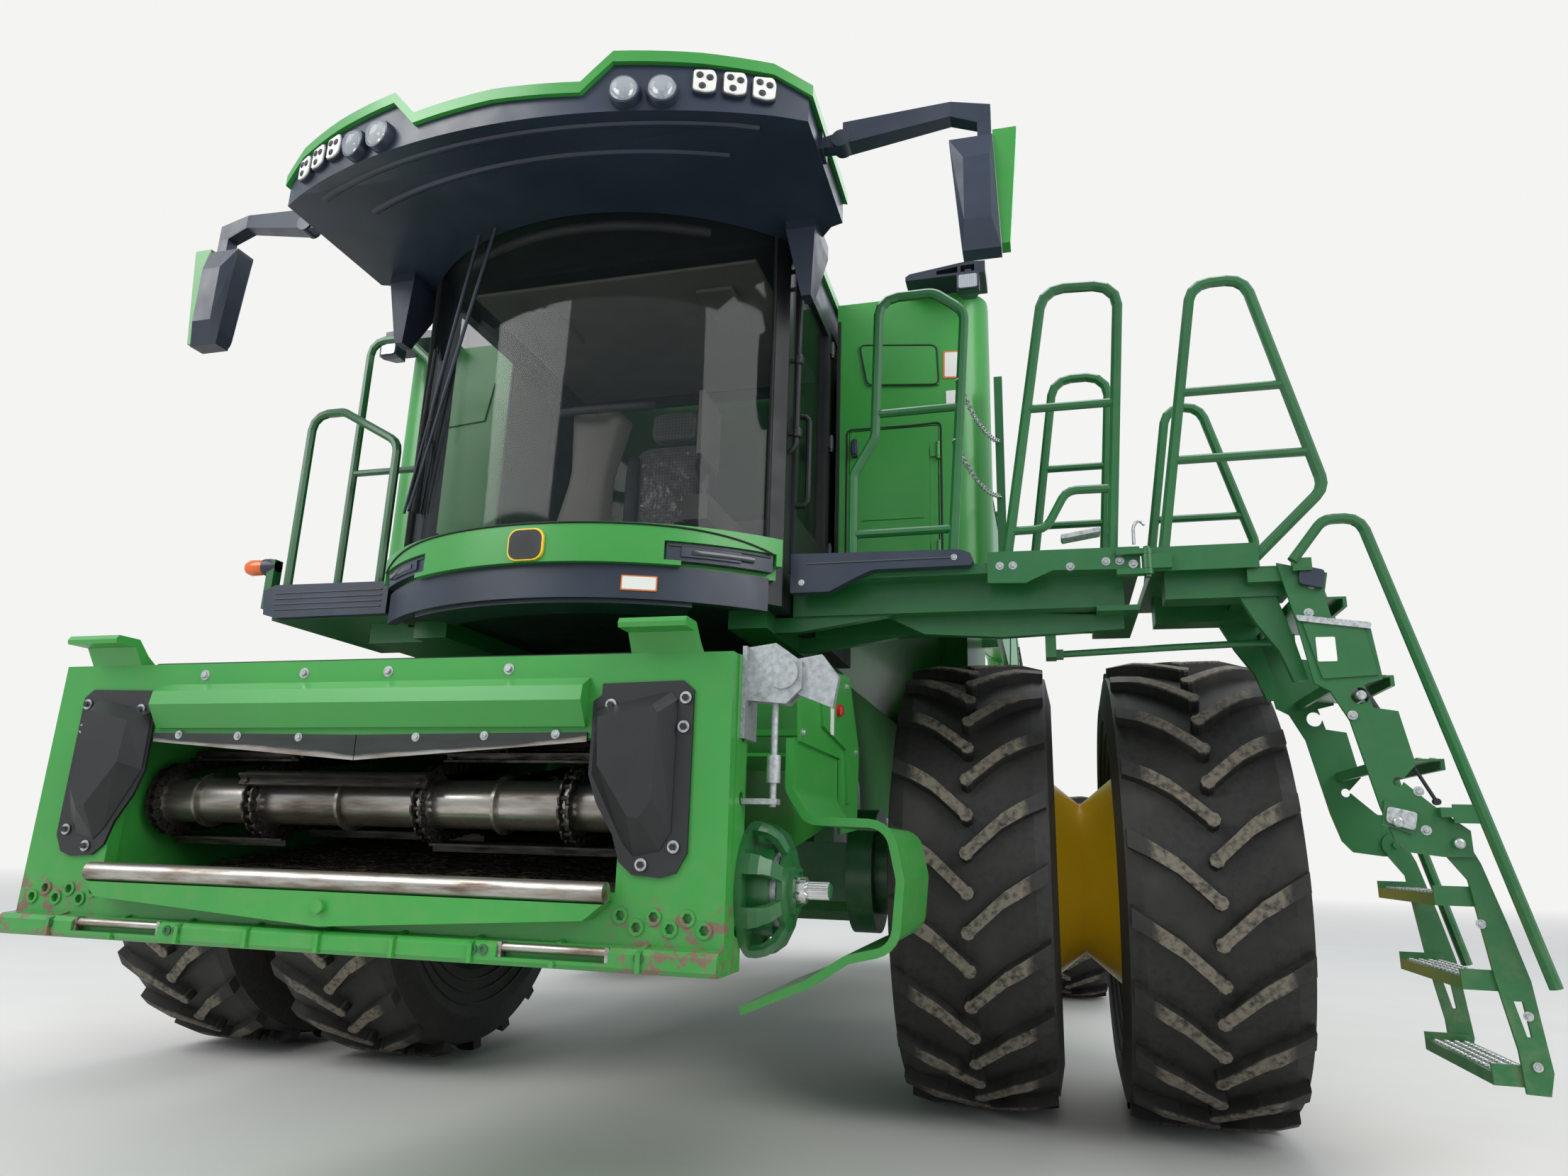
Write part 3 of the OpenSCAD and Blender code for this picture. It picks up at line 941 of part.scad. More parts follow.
// Side plate of the upper half, notched at its edges
module ladder_plate() {
    m = ladder_mid;
    difference() {
        polygon([[2655, 2143], [2812, 2100], [2795, 2020], [2815, 1915], [2925, 1900], [2943, 1727], [2884, 1712], [2905, 1632], [2976, 1620],
            [3007, 1446], [2960, 1395], [3040, 1318], m + [42, 40], m + [42, -40], m + [-40, -42], m + [-140, -30], m + [-175, 10], m + [-205, 110],
            [2830, 1590], [2780, 1690], [2735, 1716], [2700, 1929]]);
        translate([2868, 1672]) circle(28);
        translate([2770, 2050]) circle(9);
        translate([2950, 1390]) circle(16);
    }
}
module ladder_upper() color(dark_green) place() {
    for (y = [ladder_y0, ladder_y1]) along_y(y, y + 12) ladder_plate();
    // treads between the sides
    for (t = [0.14, 0.43, 0.72]) let (p = along(ladder_top, ladder_mid, t)) {
        block([p[0] - 60, ladder_y0 + 12, p[1] - 8], [p[0] + 110, ladder_y1, p[1]]);
        for (x = [-60, 98]) block([p[0] + x, ladder_y0 + 12, p[1] - 36], [p[0] + x + 12, ladder_y1, p[1] - 8]);
    }
    // doubled plate, latch bar and clevis on the front side
    along_y(ladder_y0 - 8, ladder_y0) polygon([[2716, 1925], [2900, 1915], [2930, 1740], [2760, 1730]]);
    along_y(ladder_y0 - 8, ladder_y0) polygon([[2900, 1330], [2990, 1300], [2970, 1225], [2885, 1255]]);
    for (y = [ladder_y0 - 26, ladder_y1 + 38]) {
        tube([[2700, y, 2140], [2810, y, 2285], [2925, y, 2285], [3292, y, 785]], 17, 60);
        block([3085, y - 4, 1262], [3178, y + 4, 1320]);
    }
    for (y = [ladder_y0 - 30, ladder_y1 + 12]) {
        block([3050, y, 1280], [3090, y + 30, 1310]);
        block([2700, y, 2105], [2760, y + 30, 2150]);
    }
    for (y = [ladder_y0, ladder_y1 - 26]) translate([ladder_mid[0], y + 38, fold_z]) rotate([90, 0, 0]) cylinder(h = 38, r = 12);
}
module ladder_lower() color(dark_green) place() {
    m = ladder_mid;
    difference() {
        for (y = [ladder_y0 + 13, ladder_y1 - 13]) union() {
            along_y(y, y + 12) polygon([m + [-35, 25], m + [25, 25], m + [62, -60], [3205, 960], [3244, 800], [3268, 545], [3252, 480], [3190, 482],
                [3185, 600], [3150, 800], m + [20, -110], m + [-30, -40]]);
            translate([m[0], y + 12, fold_z]) rotate([90, 0, 0]) cylinder(h = 12, r = 45);
        }
        translate([m[0], ladder_y1 + 50, fold_z]) rotate([90, 0, 0]) cylinder(h = 800, r = 12.05);
        // slots behind the leading edge
        for (y = [ladder_y0, ladder_y1 - 20]) along_y(y, y + 40) polygon([[3190, 740], [3215, 740], [3225, 640], [3212, 640]]);
    }
    // treads: a plate with turned edges
    for (t = [0.22, 0.57, 0.95]) let (p = along(ladder_mid, ladder_low, t)) {
        block([p[0] - 105, ladder_y0 + 25, p[1] - 8], [p[0] + 35, ladder_y1 - 13, p[1]]);
        for (x = [-105, 23]) block([p[0] + x, ladder_y0 + 25, p[1] - 36], [p[0] + x + 12, ladder_y1 - 13, p[1] - 8]);
        for (y = [ladder_y0 + 25, ladder_y1 - 25]) block([p[0] - 105, y, p[1] - 36], [p[0] + 35, y + 12, p[1] + 24]);
    }
}

module tyres_front_left() color(tyre_black) place() front_tyres();
module tyres_front_right() color(tyre_black) place() mirror([1, 0, 0]) front_tyres();
module rims_front_left() color(yellow) place() front_rims();
module rims_front_right() color(yellow) place() mirror([1, 0, 0]) front_rims();
module rear_tyre() translate([0, wheelbase, 0]) tyre(rear_x, rear_r, rear_w, rear_bead_r, rear_lug_h, rear_lugs);
module tyre_rear_left() color(tyre_black) place() rear_tyre();
module tyre_rear_right() color(tyre_black) place() mirror([1, 0, 0]) rear_tyre();
module rim_rear_left() color(yellow) place() translate([0, wheelbase, 0]) rear_rim();
module rim_rear_right() color(yellow) place() mirror([1, 0, 0]) translate([0, wheelbase, 0]) rear_rim();

chassis_frame();
front_axle();
rear_axle();
separator_body();
engine();
grain_tank();
side_frames();
bulkheads();
engine_deck();
rear_hood();
cab_shell();
cab_glass();
cab_roof();
roof_brow();
roof_lamps();
cab_chin();
chin_pods();
cab_interior();
cab_seat();
mirrors();
mirror_shells();
work_lights();
walkway();
walkway_rails();
deck_trims();
right_platform();
auger_elbow();
tyres_front_left();
rims_front_left();
tyres_front_right();
rims_front_right();
tyre_rear_left();
rim_rear_left();
tyre_rear_right();
rim_rear_right();
knuckle_left();
knuckle_right();
feeder_tunnel();
feeder_face();
feeder_guards();
feeder_drum();
feeder_gearcase();
feeder_shield();
feeder_wear_parts();
feeder_coupler();
lift_barrels();
lift_rods();
cab_door();
cab_door_glass();
service_door();
side_shield_left();
side_shield_right();
tank_cover_left();
tank_cover_right();
unloading_auger();
ladder_platform();
ladder_upper();
ladder_lower();
spreader_left();
spreader_right();
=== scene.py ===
"""Looks of a combine harvester without its header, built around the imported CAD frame.

Shapes are written in millimetres from the front axle's middle on the ground, as in the
part's source: front towards -Y, the machine's left towards +X, ground at Z = 0.
put() moves them into the frame, whose origin is the middle of the machine's box.
"""
import math

import bmesh
import bpy
import numpy as np
from mathutils import Matrix, Vector


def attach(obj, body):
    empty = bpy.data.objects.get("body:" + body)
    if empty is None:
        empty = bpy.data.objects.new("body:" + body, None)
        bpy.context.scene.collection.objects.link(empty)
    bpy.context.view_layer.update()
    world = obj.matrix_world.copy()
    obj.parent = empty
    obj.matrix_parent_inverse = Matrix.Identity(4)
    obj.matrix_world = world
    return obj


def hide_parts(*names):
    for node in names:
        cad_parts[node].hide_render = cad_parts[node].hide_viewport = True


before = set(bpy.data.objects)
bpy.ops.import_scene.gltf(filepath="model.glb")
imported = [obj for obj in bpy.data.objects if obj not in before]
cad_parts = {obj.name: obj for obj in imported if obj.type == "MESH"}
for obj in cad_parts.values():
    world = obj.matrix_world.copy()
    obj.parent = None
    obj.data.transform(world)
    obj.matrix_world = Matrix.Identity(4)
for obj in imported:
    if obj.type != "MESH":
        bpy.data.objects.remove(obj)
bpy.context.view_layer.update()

# Driving sizes of the machine
WHEELBASE = 3950
FRONT_R, REAR_R = 1027, 810
INNER_X, OUTER_X, REAR_X = 1521, 2454, 1920
FACE_Y = -2790
DRUM_Y, DRUM_Z = -2600, 1225
CAB_HALF_W, CORNER_Y, SCREEN_Y = 870, -1540, -1930
ROOF_HALF_W, ROOF_FRONT_Y, ROOF_TIP_Y, ROOF_TOP_Z = 1130, -2540, -2260, 3870
SCREEN_LOW_Z, SCREEN_TOP_Z = 2290, ROOF_TOP_Z - 180
DECK_Z, DECK_FRONT_Y = 2190, -1500
BULKHEAD_Y = -750
SHIELD_X, SHIELD_R, SHIELD_Z = 1640, 4200, 2500
AUGER = (1310, 420, 3540)
AUGER_R, AUGER_LEN = 200, 6900
FOLD = (3094, 1200)
LADDER_Y0, LADDER_Y1 = -1504, -880
HEADER_SHAFT = (0, -2560, 1025)
BOX_X, BOX_Y = (-2804, 3308.5), (-2890, 7170)
MIDDLE = (sum(BOX_X) / 2, sum(BOX_Y) / 2, 0)

LEFTWARD, REARWARD, UPWARD = (1, 0, 0), (0, 1, 0), (0, 0, 1)
BACKGROUND = "#f4f4f3"


def put(points):
    """Points in machine millimetres as metres in the frame."""
    return (np.asarray(points, float) - MIDDLE) / 1000


# Objects and camera
def placed(name, data):
    """A new object of the data, linked to the scene."""
    made = bpy.data.objects.new(name, data)
    bpy.context.scene.collection.objects.link(made)
    return made


def add_camera():
    """The photograph's view: a wide lens low in front of the left wheels, looking up a little."""
    yaw, pitch, roll = (math.radians(a) for a in (15.25, 14.57, 1.62))
    sensor_mm, focal_pixels, photo_pixels = 36, 1399, 2212
    data = bpy.data.cameras.new("camera")
    data.sensor_width, data.lens = sensor_mm, focal_pixels / photo_pixels * sensor_mm
    data.clip_start, data.clip_end = 0.05, 200
    camera = placed("camera", data)
    camera.matrix_world = (Matrix.Translation(put((1868, -5173, 1135))) @ Matrix.Rotation(yaw, 4, "Z")
                           @ Matrix.Rotation(math.pi / 2 + pitch, 4, "X") @ Matrix.Rotation(roll, 4, "Z"))
    bpy.context.scene.camera = camera


# Shapes: a shape is its points and a list of face arrays
def unit(v):
    v = np.asarray(v, float)
    return v / np.linalg.norm(v, axis=-1, keepdims=True)


def facing(direction, up=(0, 0, 1)):
    """Turn whose third column is the direction and whose second is as near to up as it can be."""
    z = unit(direction)
    x = unit(np.cross(np.broadcast_to(up, z.shape), z))
    return np.stack([x, np.cross(z, x), z], -1)


def arc_through(half, bow):
    """Radius of the arc that rises by bow over a chord of twice half: (half² + bow²) / 2·bow."""
    return (half ** 2 + bow ** 2) / (2 * bow)


def circle(r, n=12):
    """r·(cos t, sin t) at n even angles t."""
    t = np.arange(n) * 2 * np.pi / n
    return r * np.stack([np.cos(t), np.sin(t)], -1)


def oblong(w, h, r, n=4):
    """Rectangle of width w and height h about the origin, its corners quarter circles of radius r."""
    t = np.linspace(0, np.pi / 2, n)
    corner = r * np.stack([np.cos(t), np.sin(t)], -1) + (w / 2 - r, h / 2 - r)
    top = np.concatenate([corner, corner[::-1] * (-1, 1)])
    return np.concatenate([top, -top])


def soften(points, r, steps=4, closed=True):
    """Corners p cut by curves (1-t)²·a + 2t(1-t)·p + t²·b, where a and b lie r before and after p."""
    p = np.asarray(points, float)
    inner = p if closed else p[1:-1]
    before = np.roll(p, 1, 0) if closed else p[:-2]
    after = np.roll(p, -1, 0) if closed else p[2:]
    a, b = inner + r * unit(before - inner), inner + r * unit(after - inner)
    t = np.linspace(0, 1, steps)[:, None, None]
    cut = ((1 - t) ** 2 * a + 2 * t * (1 - t) * inner + t ** 2 * b).transpose(1, 0, 2).reshape(-1, p.shape[1])
    return cut if closed else np.concatenate([p[:1], cut, p[-1:]])


def loft(rings, closed=False):
    """Skin over an array of rings, with a flat face on each end unless the last ring joins the first."""
    rows, cols = rings.shape[:2]
    i, j = np.arange(rows if closed else rows - 1)[:, None], np.arange(cols)[None]
    i2, j2 = (i + 1) % rows, (j + 1) % cols
    faces = [np.stack([i * cols + j, i * cols + j2, i2 * cols + j2, i2 * cols + j], -1).reshape(-1, 4)]
    if not closed:
        faces += [np.arange(cols)[None, ::-1], (rows - 1) * cols + np.arange(cols)[None]]
    return rings.reshape(-1, 3), faces


def revolve(profile, place=(0, 0, 0), axis=UPWARD, sides=24, ring=False):
    """Profile of (along, radius) turned round an axis: place + along·axis + radius·(cos t·u + sin t·v)."""
    profile = np.asarray(profile, float)
    turn = facing(axis, UPWARD if abs(unit(axis)[2]) < 0.9 else REARWARD)
    rings = np.insert(profile[:, 1, None, None] * circle(1, sides), 2, profile[:, :1], 2)
    return loft(rings @ turn.T + place, ring)


def hoop(low, high, inner, outer, place, axis=UPWARD, sides=40):
    """A ring of rectangular section, from low to high along its axis."""
    return revolve([(low, inner), (low, outer), (high, outer), (high, inner)], place, axis, sides, True)


def sweep(path, outline, up=UPWARD, closed=False):
    """Outline carried along a path p: p + a·side + b·top, side = tangent × up, top = side × tangent."""
    path, outline = np.asarray(path, float), np.asarray(outline, float)
    tangent = unit(np.roll(path, -1, 0) - np.roll(path, 1, 0) if closed else np.gradient(path, axis=0))
    side = unit(np.cross(tangent, np.broadcast_to(up, tangent.shape)))
    top = np.cross(side, tangent)
    return loft(path[:, None] + outline[None, :, :1] * side[:, None] + outline[None, :, 1:] * top[:, None], closed)


def slab(outline, low, high, axis=1):
    """Outline in the plane across an axis, from low to high along it; 0 is X, 1 is Y, 2 is Z."""
    return loft(np.stack([np.insert(np.asarray(outline, float), axis, level, 1) for level in (low, high)]))


def box(low, high):
    """Upright block between two opposite corners."""
    (x0, y0, z0), (x1, y1, z1) = low, high
    return slab([(x0, z0), (x1, z0), (x1, z1), (x0, z1)], y0, y1)


def join(*shapes):
    """Several shapes as one: points stacked, faces renumbered."""
    start, faces = 0, []
    for points, own in shapes:
        faces += [f + start for f in own]
        start += len(points)
    return np.concatenate([points for points, own in shapes]), faces


def repeat(shape, places, turns=np.eye(3)):
    """A copy of the shape at each place p: R·q + p, with one turn R or a turn for each place."""
    points, faces = shape
    places = np.asarray(places, float)
    moved = np.einsum("kij,nj->kni", np.broadcast_to(turns, (len(places), 3, 3)), points) + places[:, None]
    steps = (np.arange(len(places)) * len(points))[:, None, None]
    return moved.reshape(-1, 3), [(f[None] + steps).reshape(-1, f.shape[1]) for f in faces]


def sided(shape, side):
    """The shape for the left side, its image across the machine's middle plane for the right."""
    return shape[0] * (1 if side == "left" else -1, 1, 1), shape[1]


def mirrored(shape):
    """The shape and its image on the other side."""
    return join(shape, sided(shape, "right"))


def evenly(path, count):
    """Points at even steps along a path."""
    length = np.insert(np.cumsum(np.linalg.norm(np.diff(path, axis=0), axis=1)), 0, 0)
    at = np.linspace(0, length[-1], count)
    return np.stack([np.interp(at, length, column) for column in path.T], -1)


def grid(xs, ys, z):
    """Places of a level grid at height z."""
    x, y = np.meshgrid(xs, ys, indexing="ij")
    return np.stack([x.ravel(), y.ravel(), np.full(x.size, z)], -1)


def piece(name, shape, finish, body="body", bevel=0, subdivide=0, angle=35):
    """A scene object of a shape or a list of shapes, riding on a body.

    Normals face outward and edges over the angle stay sharp.
    """
    points, faces = join(*shape) if isinstance(shape, list) else shape
    mesh = bpy.data.meshes.new(name)
    mesh.from_pydata(put(points).tolist(), [], [f for group in faces for f in group.tolist()])
    shell = bmesh.new()
    shell.from_mesh(mesh)
    bmesh.ops.recalc_face_normals(shell, faces=shell.faces)
    shell.to_mesh(mesh)
    shell.free()
    mesh.shade_smooth()
    mesh.set_sharp_from_angle(angle=math.radians(angle))
    mesh.materials.append(finish)
    made = placed(name, mesh)
    if bevel:
        edge = made.modifiers.new("edge", "BEVEL")
        edge.width, edge.segments, edge.angle_limit = bevel / 1000, 2, math.radians(35)
    if subdivide:
        skin = made.modifiers.new("skin", "SUBSURF")
        skin.levels = skin.render_levels = subdivide
    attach(made, body)
    return made


TO_FRONT, TO_LEFT = facing((0, -1, 0)), facing(LEFTWARD)


def bolts(r, h, places, turn=TO_FRONT):
    """Hexagon heads of half width r and height h at the places, each on its washer."""
    head = revolve([(0, r), (h * 0.85, r), (h, r * 0.86), (h, r * 0.01)], sides=6)
    washer = revolve([(-1, r * 1.75), (h * 0.18, r * 1.75), (h * 0.18, r * 0.9)], sides=16)
    return repeat(join(head, washer), places, turn)


def cushion(low, high, swell, square=0.32):
    """Padded block: a ball's coordinates c become sign(c)·|c|^square, drawn in by swell·Σc⁴/3 at the corners."""
    low, high = np.asarray(low, float), np.asarray(high, float)
    a = np.linspace(-np.pi / 2 + 0.02, np.pi / 2 - 0.02, 24)[:, None, None]
    ball = np.concatenate([np.cos(a) * circle(1, 32), np.broadcast_to(np.sin(a), (24, 32, 1))], -1)
    form = np.sign(ball) * np.abs(ball) ** square
    crown = 1 - swell * (np.abs(form) ** 4).sum(-1, keepdims=True) / 3
    return loft((low + high) / 2 + form * crown * (high - low) / 2)


# Finishes
def linear(code, alpha=1.0):
    """A hex colour as linear red, green, blue and alpha."""
    parts = [int(code[i:i + 2], 16) / 255 for i in (1, 3, 5)]
    return tuple(c / 12.92 if c <= 0.04045 else ((c + 0.055) / 1.055) ** 2.4 for c in parts) + (alpha,)


# The inputs that values fill where they aren't the first ones, by kind of node
ORDER = {"Mix": (0, 6, 7), "Bump": ("Strength", "Distance", "Height"), "TexNoise": ("Scale", "Detail", "Roughness")}


class Finish:
    """A material or world that is being made; place is the surface point in the object's own metres."""

    def __init__(self, name, kind="materials"):
        self.owner = getattr(bpy.data, kind).new(name)
        self.owner.use_nodes = True
        self.tree = self.owner.node_tree
        self.place = self.node("TexCoord", out="Object")

    def node(self, kind, *values, out=None, made=None, **named):
        """Adds a shader node and returns one of its outputs.

        A kind may end in its operation. Values fill inputs in order; other names are a property in small
        letters or an input with its capitals. A socket is linked, a hex code made linear, a texture reads place.
        """
        kind, _, operation = kind.partition(" ")
        made = made or self.tree.nodes.new("ShaderNode" + kind)
        if operation:
            made.operation = operation
        inputs = {"Vector": self.place} if kind in ("TexNoise", "TexWave") else {}
        inputs |= dict(zip(ORDER.get(kind, range(9)), values))
        if kind == "Mix":
            made.data_type = "RGBA"
        for key, value in named.items():
            if key.islower():
                setattr(made, key, value)
            else:
                inputs[key.replace("_", " ")] = value
        for key, value in inputs.items():
            if isinstance(value, bpy.types.NodeSocket):
                self.tree.links.new(value, made.inputs[key])
            else:
                made.inputs[key].default_value = linear(value) if isinstance(value, str) else value
        out = out or (2 if kind == "Mix" else 0)
        return made.outputs[out] if made.outputs else None

    def done(self, **settings):
        """Fills the shader's own sockets and returns the material."""
        self.node("", made=self.tree.nodes["Principled BSDF"], **settings)
        return self.owner


def enamel(name, code, shade, dust_top=1.2, rough=0.34, chipped=False):
    """Sprayed enamel: deep even colour, faint orange peel under the gloss, field dust low down."""
    f = Finish(name)
    fade = f.node("MapRange", f.node("TexNoise", 1.1, 3), 0.35, 0.7)
    colour = f.node("Mix", fade, code, shade)
    low_down = f.node("MapRange", f.node("SeparateXYZ", f.place, out=2), dust_top, 0.2, 0.04, 0.4)
    specks = f.node("MapRange", f.node("TexNoise", 17, 6, 0.6), 0.45, 0.75)
    dust = f.node("Math MULTIPLY", specks, low_down)
    peel = f.node("TexNoise", 140, 2)
    if chipped:  # paint knocked off the feet of the feeder face, outside 0.77 m and below 1.01 m
        across = f.node("Math ADD", f.node("SeparateXYZ", f.place), MIDDLE[0] / 1000)
        feet = f.node("MapRange", f.node("Math ABSOLUTE", across), 0.77, 0.84)
        low = f.node("MapRange", f.node("SeparateXYZ", f.place, out=2), 1.01, 0.97)
        chips = f.node("MapRange", f.node("TexNoise", 26, 7, 0.65), 0.53, 0.56)
        chips = f.node("Math MULTIPLY", chips, f.node("Math MULTIPLY", feet, low))
        colour = f.node("Mix", chips, colour, "#6f5b49")
    return f.done(Base_Color=f.node("Mix", dust, colour, "#8d8468"),
                  Roughness=f.node("MapRange", dust, 0, 0.5, rough, max(rough, 0.65)),
                  Coat_Weight=0.12 if rough < 0.5 else 0.0, Coat_Roughness=0.12,
                  Normal=f.node("Bump", 0.1, 0.00015, peel))


def moulding(name, code, shade, grain_mm, rough):
    """Moulded plastic: a dry sheen over the tool's grain, drawn coarser than real so that it shows."""
    f = Finish(name)
    fade = f.node("MapRange", f.node("TexNoise", 2.5, 3), 0.4, 0.75)
    wear = f.node("MapRange", f.node("TexNoise", 8, 5), 0.3, 0.7, rough - 0.08, rough + 0.1)
    grain = f.node("TexNoise", 1000 / grain_mm, 2)
    return f.done(Base_Color=f.node("Mix", fade, code, shade), Roughness=wear,
                  Normal=f.node("Bump", 0.5, 0.0004, grain))


def tyre_rubber(name, axle_y, r):
    """Vulcanised rubber: soil dries grey-brown on the lugs' faces, the carcass stays near black."""
    f = Finish(name)
    offset = f.node("VectorMath SUBTRACT", f.place, tuple(put((0, axle_y, r))))
    offset = f.node("VectorMath MULTIPLY", offset, (0, 1, 1))
    away = f.node("VectorMath LENGTH", offset, out=1)
    face = f.node("MapRange", away, r / 1000 - 0.012, r / 1000 - 0.004, 0.08, 0.9)
    patches = f.node("MapRange", f.node("TexNoise", 38, 8, 0.6), 0.3, 0.56)
    film = f.node("MapRange", f.node("TexNoise", 4, 5), 0.45, 0.75, 0, 0.18)
    soil = f.node("Math MAXIMUM", f.node("Math MULTIPLY", face, patches), film)
    skin = f.node("TexNoise", 110, 5)
    return f.done(Base_Color=f.node("Mix", soil, "#0f1011", "#7a7265"),
                  Roughness=f.node("MapRange", soil, 0, 0.8, 0.6, 0.92), Normal=f.node("Bump", 0.5, 0.0008, skin))


def rolled_steel(name, code, shade, rough=0.32, spots=33, metal=0.9, edged=False):
    """Mill steel polished by crop: bright with brown-grey smears along the machine's width.

    Where edged, it keeps dark paint above a wavy edge at 1.334 + 0.072·|x| metres, over the bright lip roller.
    """
    f = Finish(name)
    along = f.node("Mapping", f.place, Scale=(0.15, 1.0, 1.0))
    smear = f.node("MapRange", f.node("TexNoise", spots, 6, 0.6, Vector=along), 0.38, 0.68)
    colour, rough = f.node("Mix", smear, code, shade), f.node("MapRange", smear, 0, 1, rough, rough + 0.25)
    if not edged:
        return f.done(Base_Color=colour, Metallic=metal, Roughness=rough, Normal=f.node("Bump", 0.3, 0.0002, smear))
    across = f.node("Math ADD", f.node("SeparateXYZ", f.place), MIDDLE[0] / 1000)
    edge = f.node("Math MULTIPLY_ADD", f.node("Math ABSOLUTE", across), 0.072, 1.334)
    wavy = f.node("Math MULTIPLY_ADD", f.node("TexNoise", 20, 4, Vector=along), 0.03, edge)
    over = f.node("Math SUBTRACT", f.node("SeparateXYZ", f.place, out=2), wavy)
    painted = f.node("MapRange", over, -0.012, -0.004)
    return f.done(Base_Color=f.node("Mix", painted, colour, "#1e2420"), Roughness=rough,
                  Metallic=f.node("MapRange", painted, 0, 1, metal, 0))


def zinc(name, code, shade, rough):
    """Zinc plate: pale metal with the cloudy spangle of the bath."""
    f = Finish(name)
    spangle = f.node("MapRange", f.node("TexNoise", 70, 4), 0.35, 0.7)
    return f.done(Base_Color=f.node("Mix", spangle, code, shade), Metallic=0.85,
                  Roughness=f.node("MapRange", spangle, 0, 1, rough, rough + 0.18))


def see_through(name, code, solid, rough=0.03):
    """Laminated glass or polycarbonate: a dark tint, and faint streaks left by wiping."""
    f = Finish(name)
    streak = f.node("MapRange", f.node("TexNoise", 2, 4), 0.4, 0.8, rough, rough + 0.04)
    return f.done(Base_Color=code, Alpha=solid, Roughness=streak, Specular_IOR_Level=0.6)


def reflector(name, code):
    """Vapour coated bowl: soft ripples break up the shine."""
    f = Finish(name)
    ripple = f.node("TexNoise", 55, 2)
    return f.done(Base_Color=code, Metallic=0.95, Roughness=0.16, Normal=f.node("Bump", 0.5, 0.0015, ripple))


def woven(name, code, shade, thread_mm=9):
    """Seat cloth, its weave drawn coarser than real, under the creased clear film of a new machine."""
    f = Finish(name)
    turns = 500 / thread_mm / math.pi
    warp = f.node("TexWave", Scale=turns, Distortion=0.4, bands_direction="X", out=1)
    weft = f.node("TexWave", Scale=turns, Distortion=0.4, bands_direction="Z", out=1)
    thread = f.node("Math MULTIPLY", warp, weft)
    folds = f.node("TexNoise", 9, 3, Distortion=1.5)
    return f.done(Base_Color=f.node("Mix", thread, code, shade), Roughness=0.9, Sheen_Weight=0.3,
                  Normal=f.node("Bump", 0.6, 0.0012, thread), Coat_Weight=0.8, Coat_Roughness=0.1,
                  Coat_Normal=f.node("Bump", 0.8, 0.02, folds))


def straw(name):
    """Chopped stems and soil: dark brown with pale flecks, no shine."""
    f = Finish(name)
    fleck = f.node("MapRange", f.node("TexNoise", 62, 8, 0.7), 0.5, 0.68)
    return f.done(Base_Color=f.node("Mix", fleck, "#3a3128", "#8f7d5c"), Roughness=0.95,
                  Normal=f.node("Bump", 0.8, 0.004, fleck))


green = enamel("green_enamel", "#36923b", "#308635")
frame_green = enamel("frame_green_enamel", "#1c6130", "#185629")
# Darker green than green_enamel: painted shade on the separator's side behind the feeder.
separator_green_painted_shade = enamel("separator_enamel_painted_shade", "#2c7a33", "#256b2c", rough=0.75)
face_green = enamel("face_enamel", "#36923b", "#308635", chipped=True)
yellow = enamel("yellow_enamel", "#f3c622", "#e8b91a", 0.9)
white = enamel("white_sign_enamel", "#e4e3de", "#dbdad4", 0.2)
orange = enamel("orange_sign_enamel", "#d9702a", "#cf6722", 0.2)
black = moulding("black_moulding", "#202836", "#2a3344", 3, 0.36)
grey_moulding = moulding("grey_moulding", "#3a3d42", "#43464b", 3, 0.5)
black_paint = moulding("black_satin_paint", "#131416", "#1b1d1f", 3, 0.48)
casting = moulding("dark_casting", "#26282a", "#323436", 6, 0.6)
rubber = moulding("seal_rubber", "#101112", "#17191a", 5, 0.7)
trim = moulding("cab_trim_moulding", "#67645d", "#75716a", 4, 0.6)
dark_trim = moulding("dark_cab_trim", "#2b2c2e", "#343537", 4, 0.55)
lip_steel = rolled_steel("lip_steel", "#b6b3ad", "#6e5a48", 0.3, edged=True)
steel = rolled_steel("crop_worn_steel", "#b6b3ad", "#6e5a48")
dark_steel = rolled_steel("drum_steel", "#b3aea7", "#5d5248", 0.25, 17)
chain_steel = rolled_steel("chain_steel", "#54504b", "#2c2823", 0.4, 83, 0.8)
chrome = rolled_steel("chromed_rod", "#dcdddd", "#a9a49b", 0.1, 17)
plate = zinc("zinc_plate", "#cdd0cf", "#8f9392", 0.3)
grey_metal = zinc("cast_aluminium", "#b9bcbd", "#94989a", 0.42)
front_rubber = tyre_rubber("front_tyre_rubber", 0, FRONT_R)
rear_rubber = tyre_rubber("rear_tyre_rubber", WHEELBASE, REAR_R)
glass = see_through("tinted_screen", "#1b2526", 0.2)
lens = see_through("clear_lens", "#aeb6bb", 0.35)
dark_lens = see_through("smoked_lens", "#2c3137", 1.0, 0.06)
amber = see_through("amber_lens", "#e2661a", 0.92, 0.12)
red = see_through("red_lens", "#b3161b", 0.92, 0.12)
display = see_through("display_glass", "#0b0d0f", 1.0, 0.08)
mirror = reflector("mirror_silver", "#c9ced1")
bowl = reflector("lamp_reflector", "#d3d5d6")
cloth = woven("seat_cloth", "#6b6a66", "#4a4a4a")
debris = straw("crop_debris")

